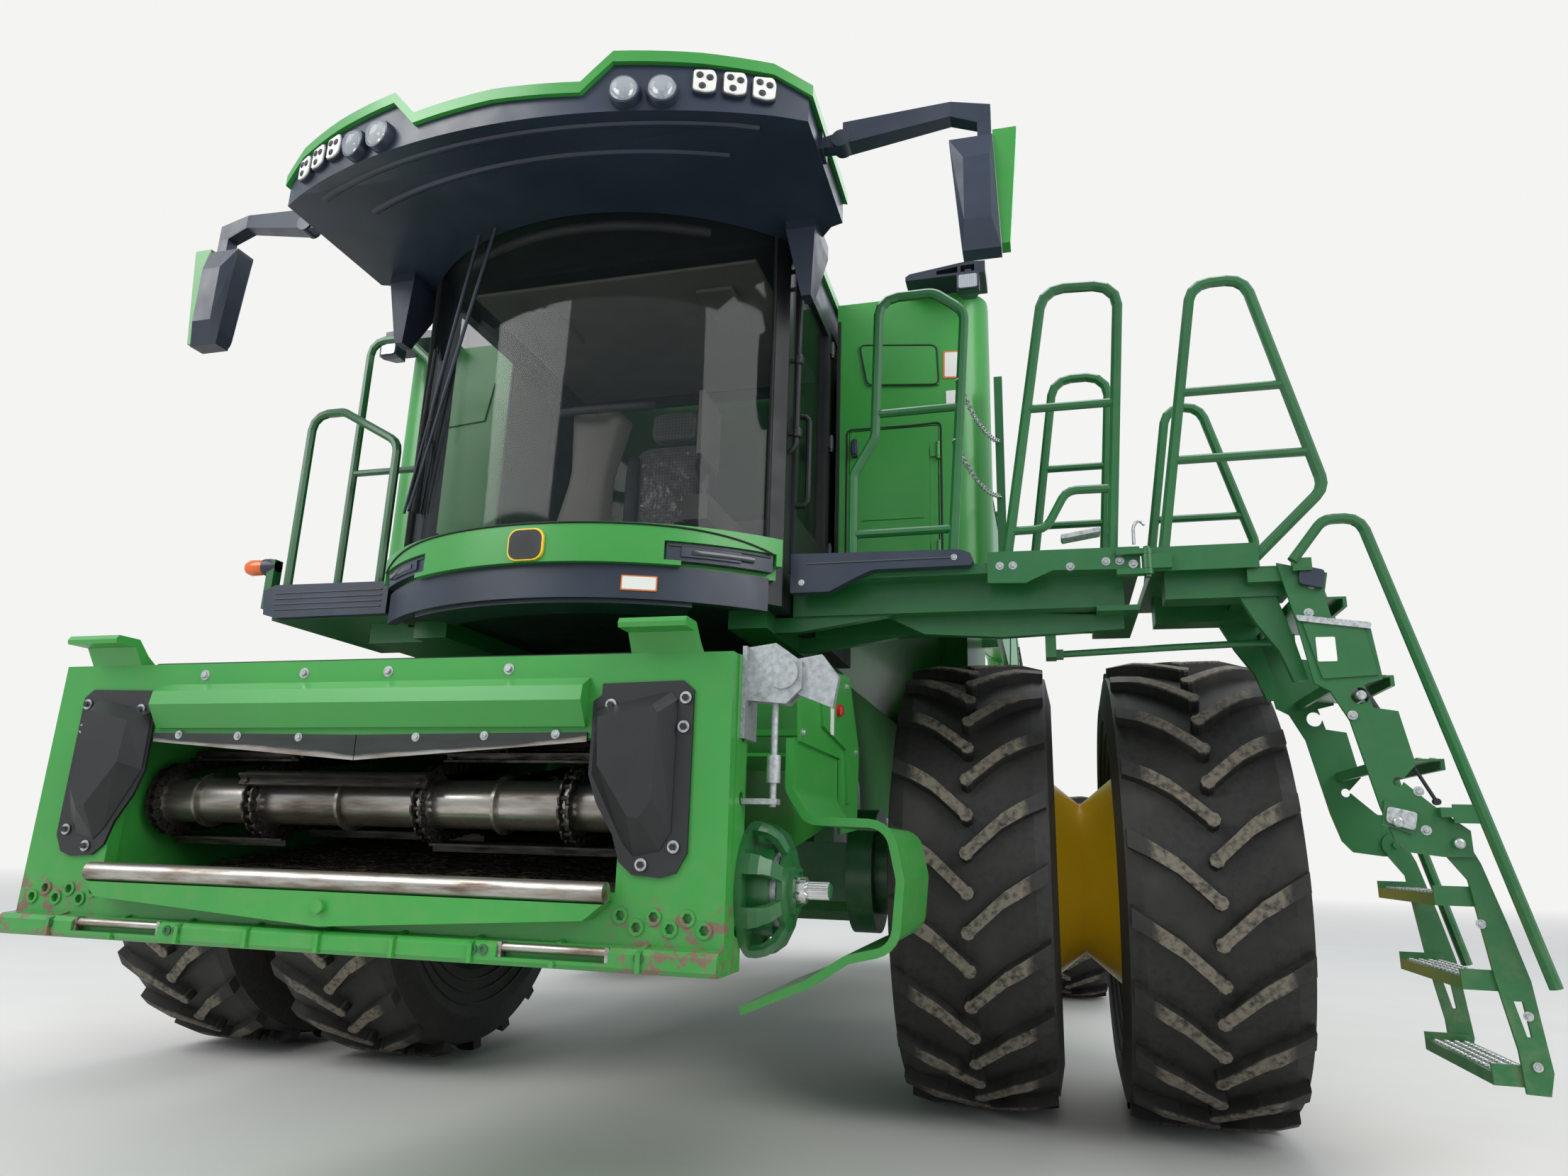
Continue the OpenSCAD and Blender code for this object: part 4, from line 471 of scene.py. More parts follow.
NODE_FINISH = {
    frame_green: ["chassis_frame", "front_axle", "rear_axle", "side_frames", "walkway", "walkway_rails",
                  "right_platform", "knuckle_left", "knuckle_right", "feeder_gearcase", "ladder_platform",
                  "ladder_upper", "ladder_lower"],
    separator_green_painted_shade: ["separator_body"],
    face_green: ["feeder_face"],
    yellow: ["rims_front_left", "rims_front_right", "rim_rear_left", "rim_rear_right"],
    black: ["roof_brow", "mirrors", "chin_pods", "work_lights", "deck_trims"],
    black_paint: ["cab_shell", "cab_door", "feeder_guards", "lift_barrels"],
    casting: ["engine"],
    trim: ["cab_interior"],
    lip_steel: ["feeder_wear_parts"],
    steel: ["spreader_left", "spreader_right"],
    dark_steel: ["feeder_drum"],
    grey_metal: ["feeder_coupler"],
    chrome: ["lift_rods"],
    front_rubber: ["tyres_front_left", "tyres_front_right"],
    rear_rubber: ["tyre_rear_left", "tyre_rear_right"],
    glass: ["cab_glass", "cab_door_glass"],
}


def dress_nodes():
    """Each CAD node keeps its mesh and gets its finish; panels that aren't listed are green."""
    finish_of = {node: finish for finish, names in NODE_FINISH.items() for node in names}
    for name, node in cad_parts.items():
        node.data.materials.clear()
        node.data.materials.append(finish_of.get(name, green))


# Roof lamps, screen and cab front
ROOF_R = arc_through(ROOF_HALF_W, ROOF_TIP_Y - ROOF_FRONT_Y)
ROOF_C = ROOF_FRONT_Y + ROOF_R
LAMP_R = ROOF_R - 18  # the lamps of the brow stand just inside its edge
SCREEN_R = arc_through(CAB_HALF_W, CORNER_Y - SCREEN_Y)
SCREEN_C = SCREEN_Y + SCREEN_R


def on_roof(x, depth):
    """Places for lamps at distances x from the middle and depths below the roof, and their outward directions."""
    lean = np.arcsin(np.asarray(x, float) / LAMP_R)
    out = np.stack([np.sin(lean), -np.cos(lean), 0 * lean], -1)
    return LAMP_R * out + np.stack([0 * lean, 0 * lean + ROOF_C, ROOF_TOP_Z - np.array(depth)], -1), out


def on_screen(x, z, off=0):
    """Places on the bowed windscreen at x and height z, off in front of it: y = c - sqrt((r + off)² - x²)."""
    x, z = np.broadcast_arrays(np.asarray(x, float), np.asarray(z, float))
    return np.stack([x, SCREEN_C - np.sqrt((SCREEN_R + off) ** 2 - x ** 2), z], -1)


def add_roof_lamps():
    """Two round lamps with deep bowls and three plate lamps with dark LED eyes on each side of the brow."""
    places, out = on_roof([497, 627, -497, -627], [175, 170] * 2)
    turns = facing(out)
    bezel = revolve([(-6, 60), (20, 60), (34, 57), (34, 50), (-6, 50)], sides=40, ring=True)
    dish = revolve([(2, 8), (6, 26), (18, 40), (32, 50), (30, 51), (12, 46), (-4, 20)], sides=40)
    bulb = revolve([(0, 9), (20, 9), (26, 6), (28, 1)], sides=16)
    dome = revolve([(30, 50), (44, 46), (54, 34), (59, 18), (60, 0.5)], sides=40)
    piece("round_lamp_bezels", repeat(bezel, places, turns), black)
    shades = piece("round_lamp_bowls", repeat(join(dish, bulb), places, turns), bowl)
    piece("round_lamp_domes", repeat(dome, places, turns), lens)
    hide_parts("roof_lamps")
    places, out = on_roof([765, 866, 962, -765, -866, -962], [122, 122, 128] * 2)
    turns = facing(out)
    outline = soften([(-40, -42), (10, -50), (42, -40), (46, 20), (34, 48), (-40, 44)], 12)
    can = slab(outline * 1.06, -8, 18, 2)
    face = slab(outline * 0.96, 14, 24, 2)
    eye = revolve([(20, 13), (26, 13), (29, 9), (30, 1)], sides=16)
    eyes = repeat(eye, [(-16, 20, 0), (20, 12, 0), (-6, -24, 0)])
    piece("plate_lamp_cans", repeat(can, places, turns), black, bevel=2)
    piece("plate_lamp_faces", repeat(face, places, turns), white, bevel=2)
    piece("plate_lamp_eyes", repeat(eyes, places, turns), casting)


def add_brow_creases():
    """Two long ridges pressed into the brow's underside, parallel to its front edge."""
    ridges = []
    for inset, half in ((95, 930), (260, 780)):
        x = np.linspace(-half, half, 80)
        y = ROOF_C - np.sqrt((ROOF_R - inset) ** 2 - x ** 2)
        z = ROOF_TOP_Z - np.interp(y, [-2540, -2300], [250, 221])
        ridges.append(sweep(np.stack([x, y, z], -1), [(-16, 1), (-5, -7), (5, -7), (16, 1)]))
    piece("brow_creases", ridges, black)


def add_wipers():
    """Two rubber blades on the screen with their spring frames, beside the rods of the CAD wipers."""
    blades, frames = [], []
    for x_top, x_low, z_top, z_low in ((-800, -715, 2500, 3230), (-742, -618, 2480, 3130)):
        t = np.linspace(0, 1, 24)
        path = on_screen(x_top + (x_low - x_top) * t, z_top + (z_low - z_top) * t, 12)
        blades.append(sweep(path, oblong(6, 18, 2)))
        frames.append(sweep(path + (0, -12, 0), oblong(12, 6, 2)))
        frames.append(repeat(revolve([(-9, 7), (9, 7)], sides=8), path[2:-2:4] + (0, -10, 0)))
    piece("wiper_blades", blades, rubber)
    piece("wiper_frames", frames, black_paint)


def add_screen_seal():
    """Rubber bead round the windscreen: up one side, along the top and down the other."""
    edge = CAB_HALF_W - 52
    side = np.linspace(SCREEN_LOW_Z + 10, SCREEN_TOP_Z - 10, 20)
    across = np.linspace(-edge, edge, 40)
    path = np.concatenate([on_screen(-edge, side, 3), on_screen(across[1:-1], SCREEN_TOP_Z - 10, 3),
                           on_screen(edge, side[::-1], 3), on_screen(across[-2:0:-1], SCREEN_LOW_Z + 10, 3)])
    out = (path - (0, SCREEN_C, 0)) * (1, 1, 0)
    piece("screen_seal", sweep(path, oblong(10, 22, 4), out, closed=True), rubber)


def add_chin():
    """Bare oval badge and blank sign on the chin, lamp strips in the black pods and the seam over them."""
    oval = oblong(148, 126, 40, 8)
    y = on_screen(0, 0, 70)[1]
    piece("chin_badge_rim", slab(oval + (0, 2196), y - 9, y + 6), yellow, bevel=2)
    piece("chin_badge", slab(oval * 0.9 + (0, 2196), y - 12, y - 8), casting, bevel=1)
    sill = on_screen(420, 2058, 43)
    turn = facing((420, sill[1] - SCREEN_C, 0))
    for step, finish in enumerate((orange, white)):
        face = slab(oblong(134 - 10 * step, 58 - 10 * step, 4), -1, 2 + step, 2)
        piece(f"chin_sign_{step}", repeat(face, [sill], turn), finish)
    for name, low, high, z, tall, off, finish in (("chin_lamp_strips", 600, 800, 2185, 22, 64, dark_lens),
                                                  ("chin_pod_lips", 520, 850, 2208, 8, 58, grey_moulding)):
        path = on_screen(np.linspace(low, high, 24), z, off)
        piece(name, mirrored(sweep(path, oblong(tall, 12, 4) @ [[0, 1], [1, 0]])), finish)
    x = np.linspace(-860, 860, 60)
    piece("chin_seam", sweep(on_screen(x, 2280 - 60 * np.abs(x / 860) ** 6, 72), circle(4, 8)), rubber)


def add_pillar_bar():
    """Black grab bar with its three stand-offs on the pillar in front of the cab door."""
    path = soften([(872, -1500, 2700), (904, -1505, 2720), (908, -1505, 3520), (872, -1500, 3540)], 26, 5, False)
    heights = (2780, 3110, 3450)
    knob = revolve([(-22, 13), (-16, 19), (16, 19), (22, 13)], sides=16)
    knobs = repeat(knob, [(907, -1505, z) for z in heights])
    studs = [revolve([(862, 9), (906, 9)], (0, -1502, z), LEFTWARD, 10) for z in heights]
    piece("pillar_bar", [sweep(path, circle(11, 12), REARWARD), knobs, *studs], black_paint)


def add_mirror_glass():
    """Silvered glass and its rim in the back of each mirror, facing the driver."""
    outline = soften([(1640, -640), (1760, -640), (1738, -205), (1602, -215)], 26) + (0, ROOF_TOP_Z)
    middle = outline.mean(0)
    rim = slab(outline, -1922, -1908)
    face = slab((outline - middle) * 0.94 + middle, -1914, -1904)
    piece("mirror_rims", mirrored(rim), black, bevel=3)
    piece("mirror_glass", mirrored(face), mirror, bevel=1)


# Inside the cab
def add_seat():
    """Sprung seat in place of the plain CAD seat: cushion, back with bolsters, head rest and bellows."""
    made = []
    for name, low, high, swell in (("seat_cushion", (-250, -1100, 2455), (250, -575, 2575), 0.16),
                                   ("seat_back", (-225, -655, 2560), (225, -530, 3170), 0.14),
                                   ("head_rest", (-135, -640, 3185), (135, -545, 3355), 0.2)):
        made.append(piece(name, cushion(low, high, swell), cloth, subdivide=1, angle=80))
    bolsters = mirrored(join(cushion((-262, -1090, 2480), (-190, -590, 2600), 0.1, 0.5),
                             cushion((-240, -690, 2600), (-165, -560, 3120), 0.1, 0.5)))
    bolster = piece("seat_bolsters", bolsters, dark_trim, subdivide=1, angle=80)
    z = np.linspace(2165, 2440, 45)
    folds = 0.94 + 0.06 * np.cos((z - 2165) / 275 * 2 * np.pi * 5)
    rings = np.insert(oblong(340, 380, 60)[None] * folds[:, None, None], 2, z[:, None], 2) + (0, -800, 0)
    bellows = piece("seat_bellows", loft(rings), rubber, angle=60)
    for each in (*made, bellows, bolster):
        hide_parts("cab_seat")


def add_driving_place():
    """Column shroud, pedals, dark glass of the display, joystick, console keys and cover of the wheel's rim."""
    lean = np.linspace(0, 1, 12)[:, None]
    spine = (0, -1600, 2190) + lean * (0, 155, 750)
    width = np.interp(lean[:, 0], [0, 0.25, 0.6, 1], [1.0, 0.82, 0.62, 0.9])
    rings = spine[:, None] + np.insert(oblong(260, 200, 50)[None] * width[:, None, None], 2, 0, 2)
    piece("column_shroud", loft(rings), trim, angle=50)
    pedal = slab(soften([(-45, -70), (45, -70), (50, 70), (-50, 70)], 18), -6, 6, 2)
    tilt = facing((0, -0.5, 0.85))
    pedals = repeat(pedal, [(150, -1640, 2250), (-150, -1640, 2250), (-270, -1640, 2240)], tilt)
    posts = [sweep(soften([(x, -1640, 2245), (x, -1600, 2225), (x, -1560, 2170)], 20, closed=False), circle(9))
             for x in (150, -150, -270)]
    piece("pedals", [pedals, *posts], dark_trim, bevel=2)
    piece("display_glass", slab(oblong(228, 276, 14) + (-1255, 2930), 412, 420, 0), display, bevel=2)
    grip = revolve([(0, 26), (20, 30), (60, 20), (110, 24), (150, 34), (185, 30), (196, 12), (198, 1)],
                   (350, -1080, 2680), (0, -0.15, 1), 20)
    piece("joystick", grip, dark_trim, angle=60)
    keys = repeat(box((-8, -10, 0), (8, 10, 7)), grid(306 + 24 * np.arange(4), -940 + 30 * np.arange(5), 2681))
    piece("console_keys", keys, grey_moulding, bevel=2)
    turn = facing((0, math.sin(math.radians(-25)), math.cos(math.radians(25))), (0, 1, 0))
    rim = np.insert(circle(200, 60), 2, 0, 1)
    cover = sweep(rim @ turn.T + (0, -1415, 3010), circle(18, 14), turn[:, 2], closed=True)
    piece("steering_wheel_cover", cover, dark_trim, angle=80)


def add_cab_lining():
    """Mat, padded lining behind the seat, headliner and the sunblind's roller inside the cab."""
    mat = box((-770, -1480, 2161), (770, -240, 2171))
    rear = box((-560, -228, 2260), (560, -206, 2860))
    ceiling = box((-700, -1500, 3612), (700, -300, 3630))
    pods = [box((x - 90, -1350, 3590), (x + 90, -1000, 3612)) for x in (-450, 450)]
    piece("floor_mat", mat, rubber, bevel=3)
    piece("cab_linings", [rear, ceiling, *pods], trim, bevel=12)
    x = np.linspace(-560, 560, 30)
    blind = sweep(on_screen(x, SCREEN_TOP_Z - 60, -60), circle(22, 16))
    piece("sunblind_roller", blind, dark_trim)


# Feeder house
CHAIN_X = (-770, -420, 150, 600)


def chain_path(radius=96, back_y=-700):
    """The chains' round: half a turn about the drum, then two straight runs to the rear, evenly divided."""
    t = np.linspace(-np.pi / 2, np.pi / 2, 40)
    nose = np.stack([DRUM_Y - radius * np.cos(t), DRUM_Z + radius * np.sin(t)], -1)
    return evenly(np.concatenate([[(back_y, 1560 - radius)], nose, [(back_y, 1560 + radius)]]), 120)


def add_feeder_chains():
    """Four link chains round the drum and the slats bolted across them."""
    path = chain_path()
    along = unit(np.gradient(path, axis=0))
    up = np.stack([-along[:, 1], along[:, 0]], -1)
    tangent, normal = np.insert(along, 0, 0, 1), np.insert(up, 0, 0, 1)
    turns = np.stack([np.cross(tangent, normal), normal, tangent], -1)
    pitch = np.linalg.norm(np.diff(path, axis=0), axis=1).mean()
    link = slab(circle(15, 10)[:, ::-1] * (1, pitch / 26), -3, 3, 0)
    pair = join(repeat(link, [(-14, 0, 0), (14, 0, 0)]), revolve([(-20, 7), (20, 7)], axis=LEFTWARD, sides=10))
    chains = [repeat(pair, np.insert(path, 0, x, 1), turns) for x in CHAIN_X]
    piece("feeder_chains", chains, chain_steel, "feeder")
    nose = int(np.argmin(path[:, 0]))
    head, bars = revolve([(24, 8), (31, 8), (33, 5), (33, 1)], sides=6), []
    for start, spans in ((nose - 5, ((-800, -390), (120, 780))), (nose - 10, ((-450, 180),))):
        picks = np.arange(start % 12, len(path) - 3, 12)
        outward = turns[picks][:, :, [0, 2, 1]] * (1, -1, 1)
        for x0, x1 in spans:
            heads = repeat(head, [(x0 + 24, 14, 0), (x1 - 24, 14, 0)])
            bar = join(box((x0, -24, 18), (x1, 24, 25)), box((x0, -4, 24), (x1, 4, 44)), heads)
            bars.append(repeat(bar, np.insert(path[picks], 0, 0, 1), outward))
    piece("feeder_slats", bars, chain_steel, "feeder")


def tunnel_floor(y):
    """Height of the feeder's sloping floor."""
    return 962 + 0.1498 * (y - FACE_Y)


def add_crop():
    """Chopped crop left on the tray: a mat whose height is a sum of sines, with loose stems on it."""
    rng = np.random.default_rng(7)
    half, front, back = 785, -2785, -1500
    x, y = np.meshgrid(np.linspace(-half, half, 160), np.linspace(front, back, 90), indexing="ij")
    height = 6 + 5 * np.sin(x / 31 + 2) * np.sin(y / 17) + 4 * np.sin(x / 11 + y / 9) + 3 * rng.random(x.shape)
    edge = np.minimum(1, np.minimum(half - np.abs(x), np.minimum(y - front, back - y)) / 30)
    top = np.stack([x, y, tunnel_floor(y) + 2 + np.maximum(height, 1) * edge], -1)
    bottom = np.stack([x, y, tunnel_floor(y)], -1)
    piece("crop_mat", loft(np.concatenate([top, bottom[:, ::-1]], 1)), debris, "feeder", angle=60)
    stem = sweep([(-30, 0, 0), (-10, 0, 3), (12, 0, 2), (30, 0, 0)], circle(1.6, 5))
    count = 700
    y = rng.uniform(-2770, -2100, count)
    places = np.stack([rng.uniform(-760, 760, count), y, tunnel_floor(y) + 12 + rng.uniform(0, 10, count)], -1)
    turn = rng.uniform(0, np.pi, count)
    c, s, o = np.cos(turn), np.sin(turn), 0 * turn
    turns = np.array([[c, -s, o], [s, c, o], [o, o, o + 1]]).transpose(2, 0, 1)
    piece("crop_stems", repeat(stem, places, turns), debris, "feeder")


def add_feeder_fittings():
    """Seal, bolts and dimples of the face, splined end of the header shaft, stop button and label of the shield."""
    upper = bolts(9, 9, [(x, FACE_Y, 1580) for x in (-560, -210, 70, 450)])
    strip = [(s * x, FACE_Y - 9, 1392 + x / 60) for s in (-1, 1) for x in (190, 400, 610)]
    beam = repeat(revolve([(0, 13), (4, 13), (4, 7), (1, 6)], sides=18),
                  [(s * x, FACE_Y - 52, 866) for s in (-1, 1) for x in (455, 485, 900)], TO_FRONT)
    seal = np.array([(42, 1598), (120, 1612), (120, 1622), (60, 1630), (42, 1626)]) + (FACE_Y, 0)
    piece("feeder_top_seal", slab(seal, -790, 780, 0), rubber, "feeder")
    piece("feeder_face_bolts", [upper, bolts(7, 6, strip)], plate, "feeder")
    piece("feeder_beam_rings", beam, frame_green, "feeder")
    tooth = np.where(np.arange(48) % 4 < 2, 22.0, 18.0)
    spline = slab(circle(1, 48) * tooth[:, None] + HEADER_SHAFT[1:], 1226, 1300, 0)
    collar = revolve([(1218, 34), (1240, 34), (1244, 26)], HEADER_SHAFT, LEFTWARD, 32)
    core = revolve([(1135, 96), (1180, 92), (1195, 64)], HEADER_SHAFT, LEFTWARD, 40)
    button = revolve([(0, 22), (12, 22), (20, 14), (22, 1)], (1146, -1760, 1600), LEFTWARD, 24)
    piece("header_shaft_splines", [spline, collar], chrome, "feeder")
    piece("cage_core", core, grey_metal, "feeder")
    piece("stop_button", button, red, "feeder")
    piece("shield_label", slab(oblong(46, 110, 4) + (-1850, 1560), 1145, 1148, 0), white, "feeder")
    heads = [(1136, y, z) for y, z in ((-2220, 1470), (-2240, 1650), (-1560, 1715), (-1370, 1490), (-1390, 1230))]
    piece("shield_bolts", bolts(9, 8, heads, TO_LEFT), plate, "feeder")
    heads = ((970, 1495), (968, 1421), (764, 1478), (957, 1125), (874, 1080))
    guard = bolts(9, 8, [(x, FACE_Y - 12, z) for x, z in heads])
    for side in ("right", "left"):
        piece("guard_bolts_" + side, sided(guard, side), plate, "feeder")


# Bulkhead, decks and rails
def add_bulkhead_marks():
    """Pressed grooves drawn as dark beads of painted shade, seals, signs and the catch of the sheets beside the
    cab.
    """
    y = BULKHEAD_Y
    front = (0, -1, 0)
    pocket = soften([(985, 2300), (1180, 2296), (1176, 2225), (990, 2225)], 18)
    field = soften([(1020, 3560), (1400, 3520), (1410, 3310), (1060, 3340)], 30)
    edge = soften([(960, 2316), (1416, 2316), (1416, 3116), (1280, 3110), (960, 3113)], 26)
    # Near-black beads along the pressed grooves of the green sheets: painted shade in the grooves.
    grooves = [mirrored(sweep(np.insert(pocket, 1, y - 1, 1), oblong(7, 5, 1.5), front, closed=True)),
               sweep(np.insert(field, 1, y - 10.5, 1), oblong(7, 5, 1.5), front, closed=True)]
    piece("sheet_groove_painted_shade", grooves, rubber)
    piece("service_door_seal", sweep(np.insert(edge, 1, y - 1, 1), oblong(9, 6, 2), front, closed=True), rubber)
    piece("cab_side_seals", mirrored(slab(oblong(16, 1430, 6) + (917, 2990), y - 8, y + 1)), rubber, bevel=2)
    orange_edge = slab(soften([(1432, 3486), (1526, 3480), (1522, 3336), (1430, 3342)], 8), y - 4, y + 1)
    blank = slab(soften([(1440, 3478), (1518, 3473), (1515, 3344), (1438, 3350)], 6), y - 5, y - 1)
    piece("warning_sign_edges", orange_edge, orange)
    piece("blank_signs", [blank, slab(oblong(54, 70, 4) + (1470, 3240), y - 4, y + 1)], white)
    catch = [slab(oblong(34, 92, 15) + (1000, 3010), y - 22, y - 1),
             slab(oblong(22, 70, 10) + (1000, 3010), y - 30, y - 20)]
    piece("door_catch", catch, black, "service_door", bevel=2)
    ribs = [slab(oblong(300, 6, 2) + (1187, z), y - 12, y - 7) for z in (2480, 2560, 2640)]
    piece("door_pressings", ribs, green, "service_door", bevel=2)


def add_work_light_lenses():
    """Ribbed lens, bowl and bezel of the lights over the front sheets."""
    outline = oblong(92, 78, 12) + (1572, 3725)
    piece("work_light_bowls", mirrored(slab(outline, -969, -964)), bowl, bevel=1)
    lines = [slab(oblong(3, 66, 1) + (1536 + 9 * i, 3725), -975, -968) for i in range(9)]
    piece("work_light_ribs", mirrored(join(*lines)), lens)
    rim = sweep(np.insert(outline, 1, -967, 1), oblong(8, 10, 3), (0, -1, 0), closed=True)
    piece("work_light_bezels", mirrored(rim), black)


def chain_links(start, end, sag, link=30):
    """Welded chain on the parabola start + t·(end - start) - 4·sag·t·(1-t) of Z, each link a quarter turn on."""
    t = np.linspace(0, 1, 200)[:, None]
    run = start + np.subtract(end, start) * t - (0, 0, 4 * sag) * t * (1 - t)
    count = max(2, round(np.linalg.norm(np.diff(run, axis=0), axis=1).sum() / (link * 0.74)))
    places = evenly(run, count)
    turns = facing(np.gradient(places, axis=0), (0, 1, 0.01))
    odd = (np.arange(count) % 2 == 1)[:, None, None]
    turns = np.where(odd, turns[:, :, [1, 0, 2]] * (1, -1, 1), turns)
    loop = np.insert(oblong(link * 0.62, link, link * 0.31, 5), 1, 0, 1)
    return repeat(sweep(loop, circle(2.6, 6), REARWARD, closed=True), places, turns)


def add_deck_details():
    """Chains, bolts, latch hook, studs, ribbed trims and side lamp of the walkway and the other platform."""
    y = DECK_FRONT_Y + 20
    chains = [chain_links((1562, y, 2960), (1690, BULKHEAD_Y - 12, 2990), 60),
              chain_links((1545, y, 2700), (1690, BULKHEAD_Y - 12, 2720), 60),
              chain_links((2190, -775, 3190), (2150, -790, 2240), 0, 34)]
    piece("safety_chains", chains, plate)
    y = DECK_FRONT_Y
    heads = [(x, y - 8, 2174) for x in (1706, 1754, 2086, 2134)] + [(x, y - 8, 2160) for x in (1960, 2180)]
    trim_heads = [(x, y - 50, z) for x, z in ((950, 2130), (1540, 2205))]
    piece("deck_bolts", [bolts(9, 8, heads), bolts(7, 6, trim_heads)], plate)
    step = slab(soften([(1930, 2284), (2070, 2306), (2075, 2290), (1935, 2268)], 5), -1512, -1440)
    bend = [(2186, -1512, 2232), (2186, -1526, 2300), (2206, -1526, 2322), (2226, -1526, 2300)]
    hook = sweep(soften(bend, 16, closed=False), circle(6, 10), (1, 0, 0.1))
    piece("latch_hook", [step, hook], plate, bevel=1)
    stud = revolve([(-1, 11), (3, 9), (3.5, 0.5)], sides=10)
    for name, body, low, high, front in (("deck_studs", "body", 960, 2190, -1440),
                                         ("platform_studs", "ladder", 2290, 2580, -1440),
                                         ("right_deck_studs", "body", -1490, -920, -1460)):
        places = grid(np.arange(low, high, 58), np.arange(front, -800, 58), DECK_Z)
        piece(name, repeat(stud, places), frame_green, body)
    ribs = [slab(oblong(560, 5, 2) + (-1215, z), y - 74, y - 69) for z in (2100, 2125, 2150, 2175)]
    ribs.append(slab(oblong(560, 5, 2) + (1250, 2205), y - 54, y - 49))
    piece("trim_ribs", ribs, grey_moulding)
    lamp = (0, -1465, 2335)
    lit = revolve([(-1645, 20), (-1690, 36), (-1745, 38), (-1765, 30), (-1770, 1)], lamp, LEFTWARD, 28)
    piece("side_lamp", lit, amber)
    foot = revolve([(-1600, 26), (-1640, 40), (-1668, 40), (-1672, 20)], lamp, LEFTWARD, 28)
    piece("side_lamp_body", foot, black)


# Ladder
def add_ladder_details():
    """Bolts, latch, switch box, sign, gas strut and punched treads of the ladder, and its tie rod."""
    y = LADDER_Y0
    heads = [(x, y - 1, z) for x, z in ((2868, 1672), (3004, 1361), (3011, 1239), (2760, 2060), (2740, 1960))]
    heads.append((2837, y - 8, 1606))
    latch = slab(soften([(2695, 1952), (2700, 1930), (2920, 1896), (2926, 1918)], 8), y - 16, y - 8)
    link = slab(soften([(2905, 1312), (2990, 1292), (2976, 1236), (2896, 1262)], 12), y - 16, y - 8)
    pins = repeat(revolve([(0, 16), (10, 16), (14, 11), (14, 1)], sides=20),
                  [(2929, y - 16, 1262), (2868, y - 8, 1672), (3094, y - 14, 1200)], TO_FRONT)
    piece("ladder_bolts", bolts(9, 8, heads), plate, "ladder")
    piece("ladder_latch", [latch, link, pins], plate, "ladder", bevel=1)
    switch = slab(soften([(2722, 2128), (2800, 2106), (2792, 2040), (2716, 2060)], 10), y - 22, y)
    piece("ladder_switch_box", switch, black, "ladder", bevel=3)
    piece("ladder_sign", slab(oblong(60, 84, 4) + (2780, 1830), y - 11, y - 8), white, "ladder")
    a, b = np.array((2884, y + 26, 1700.0)), np.array((3060, y + 26, 1330.0))
    barrel = revolve([(0, 8), (4, 13), (250, 13), (254, 6), (405, 6)], a, b - a, 16)
    ends = repeat(revolve([(-10, 11), (10, 11)], axis=REARWARD, sides=14), [a, b])
    piece("ladder_gas_strut", [barrel, ends], black_paint, "ladder")
    rod = sweep([(1896, -1250, 1880), (2300, -1250, 1898), (2700, -1250, 1912)], circle(13, 14))
    clevis = [box((1874, -1266, 1862), (1926, -1234, 1898)), box((2676, -1270, 1888), (2742, -1230, 1936))]
    piece("ladder_tie_rod", [rod, *clevis], frame_green, bevel=2)
    tooth = revolve([(-1, 13), (5, 9), (5, 6), (1, 4)], sides=10)
    # columns: half of the ladder, body, shares of its length, its two ends, reach of the teeth in x and in y
    for half, body, steps, top, foot, (x0, x1), (y0, y1) in (
            ("upper", "ladder", (0.14, 0.43, 0.72), (2700, 2150), FOLD, (-36, 86), (y + 40, LADDER_Y1 - 18)),
            ("lower", "ladder_lower", (0.22, 0.57, 0.95), FOLD, (3222, 500), (-81, 11), (y + 64, LADDER_Y1 - 44))):
        rows = [grid(np.linspace(x + x0, x + x1, 4), np.arange(y0, y1, 36), z)
                for x, z in (np.array(top) + np.subtract(foot, top) * t for t in steps)]
        piece(half + "_tread_teeth", repeat(tooth, np.concatenate(rows)), plate, body)
    low = [(3130, y + 8, 960), (3221, y + 8, 700), (3226, y + 8, 560)]
    piece("lower_ladder_bolts", bolts(8, 7, low), plate, "ladder_lower")


# Wheels
def wall_ribs(tyres_x, radii, foot, slope, wide, high, axle, sides):
    """Raised rings on both walls of each tyre; from the wall's foot (half width, radius) it leans by the slope."""
    ribs = [(x + out * (foot[0] + slope * (r - foot[1])), r) for x in tyres_x for out in (-1, 1) for r in radii]
    return join(*[hoop(x - wide, x + wide, r - high, r + high, axle, LEFTWARD, sides) for x, r in ribs])


def nut_ring(count, first, x, r, size, axle):
    """Nuts at even angles, starting with the first, on a circle of radius r round an axle."""
    t = np.arange(count) * 2 * np.pi / count + first
    return bolts(*size, np.stack([0 * t + x, r * np.cos(t), r * np.sin(t)], -1) + axle, TO_LEFT)


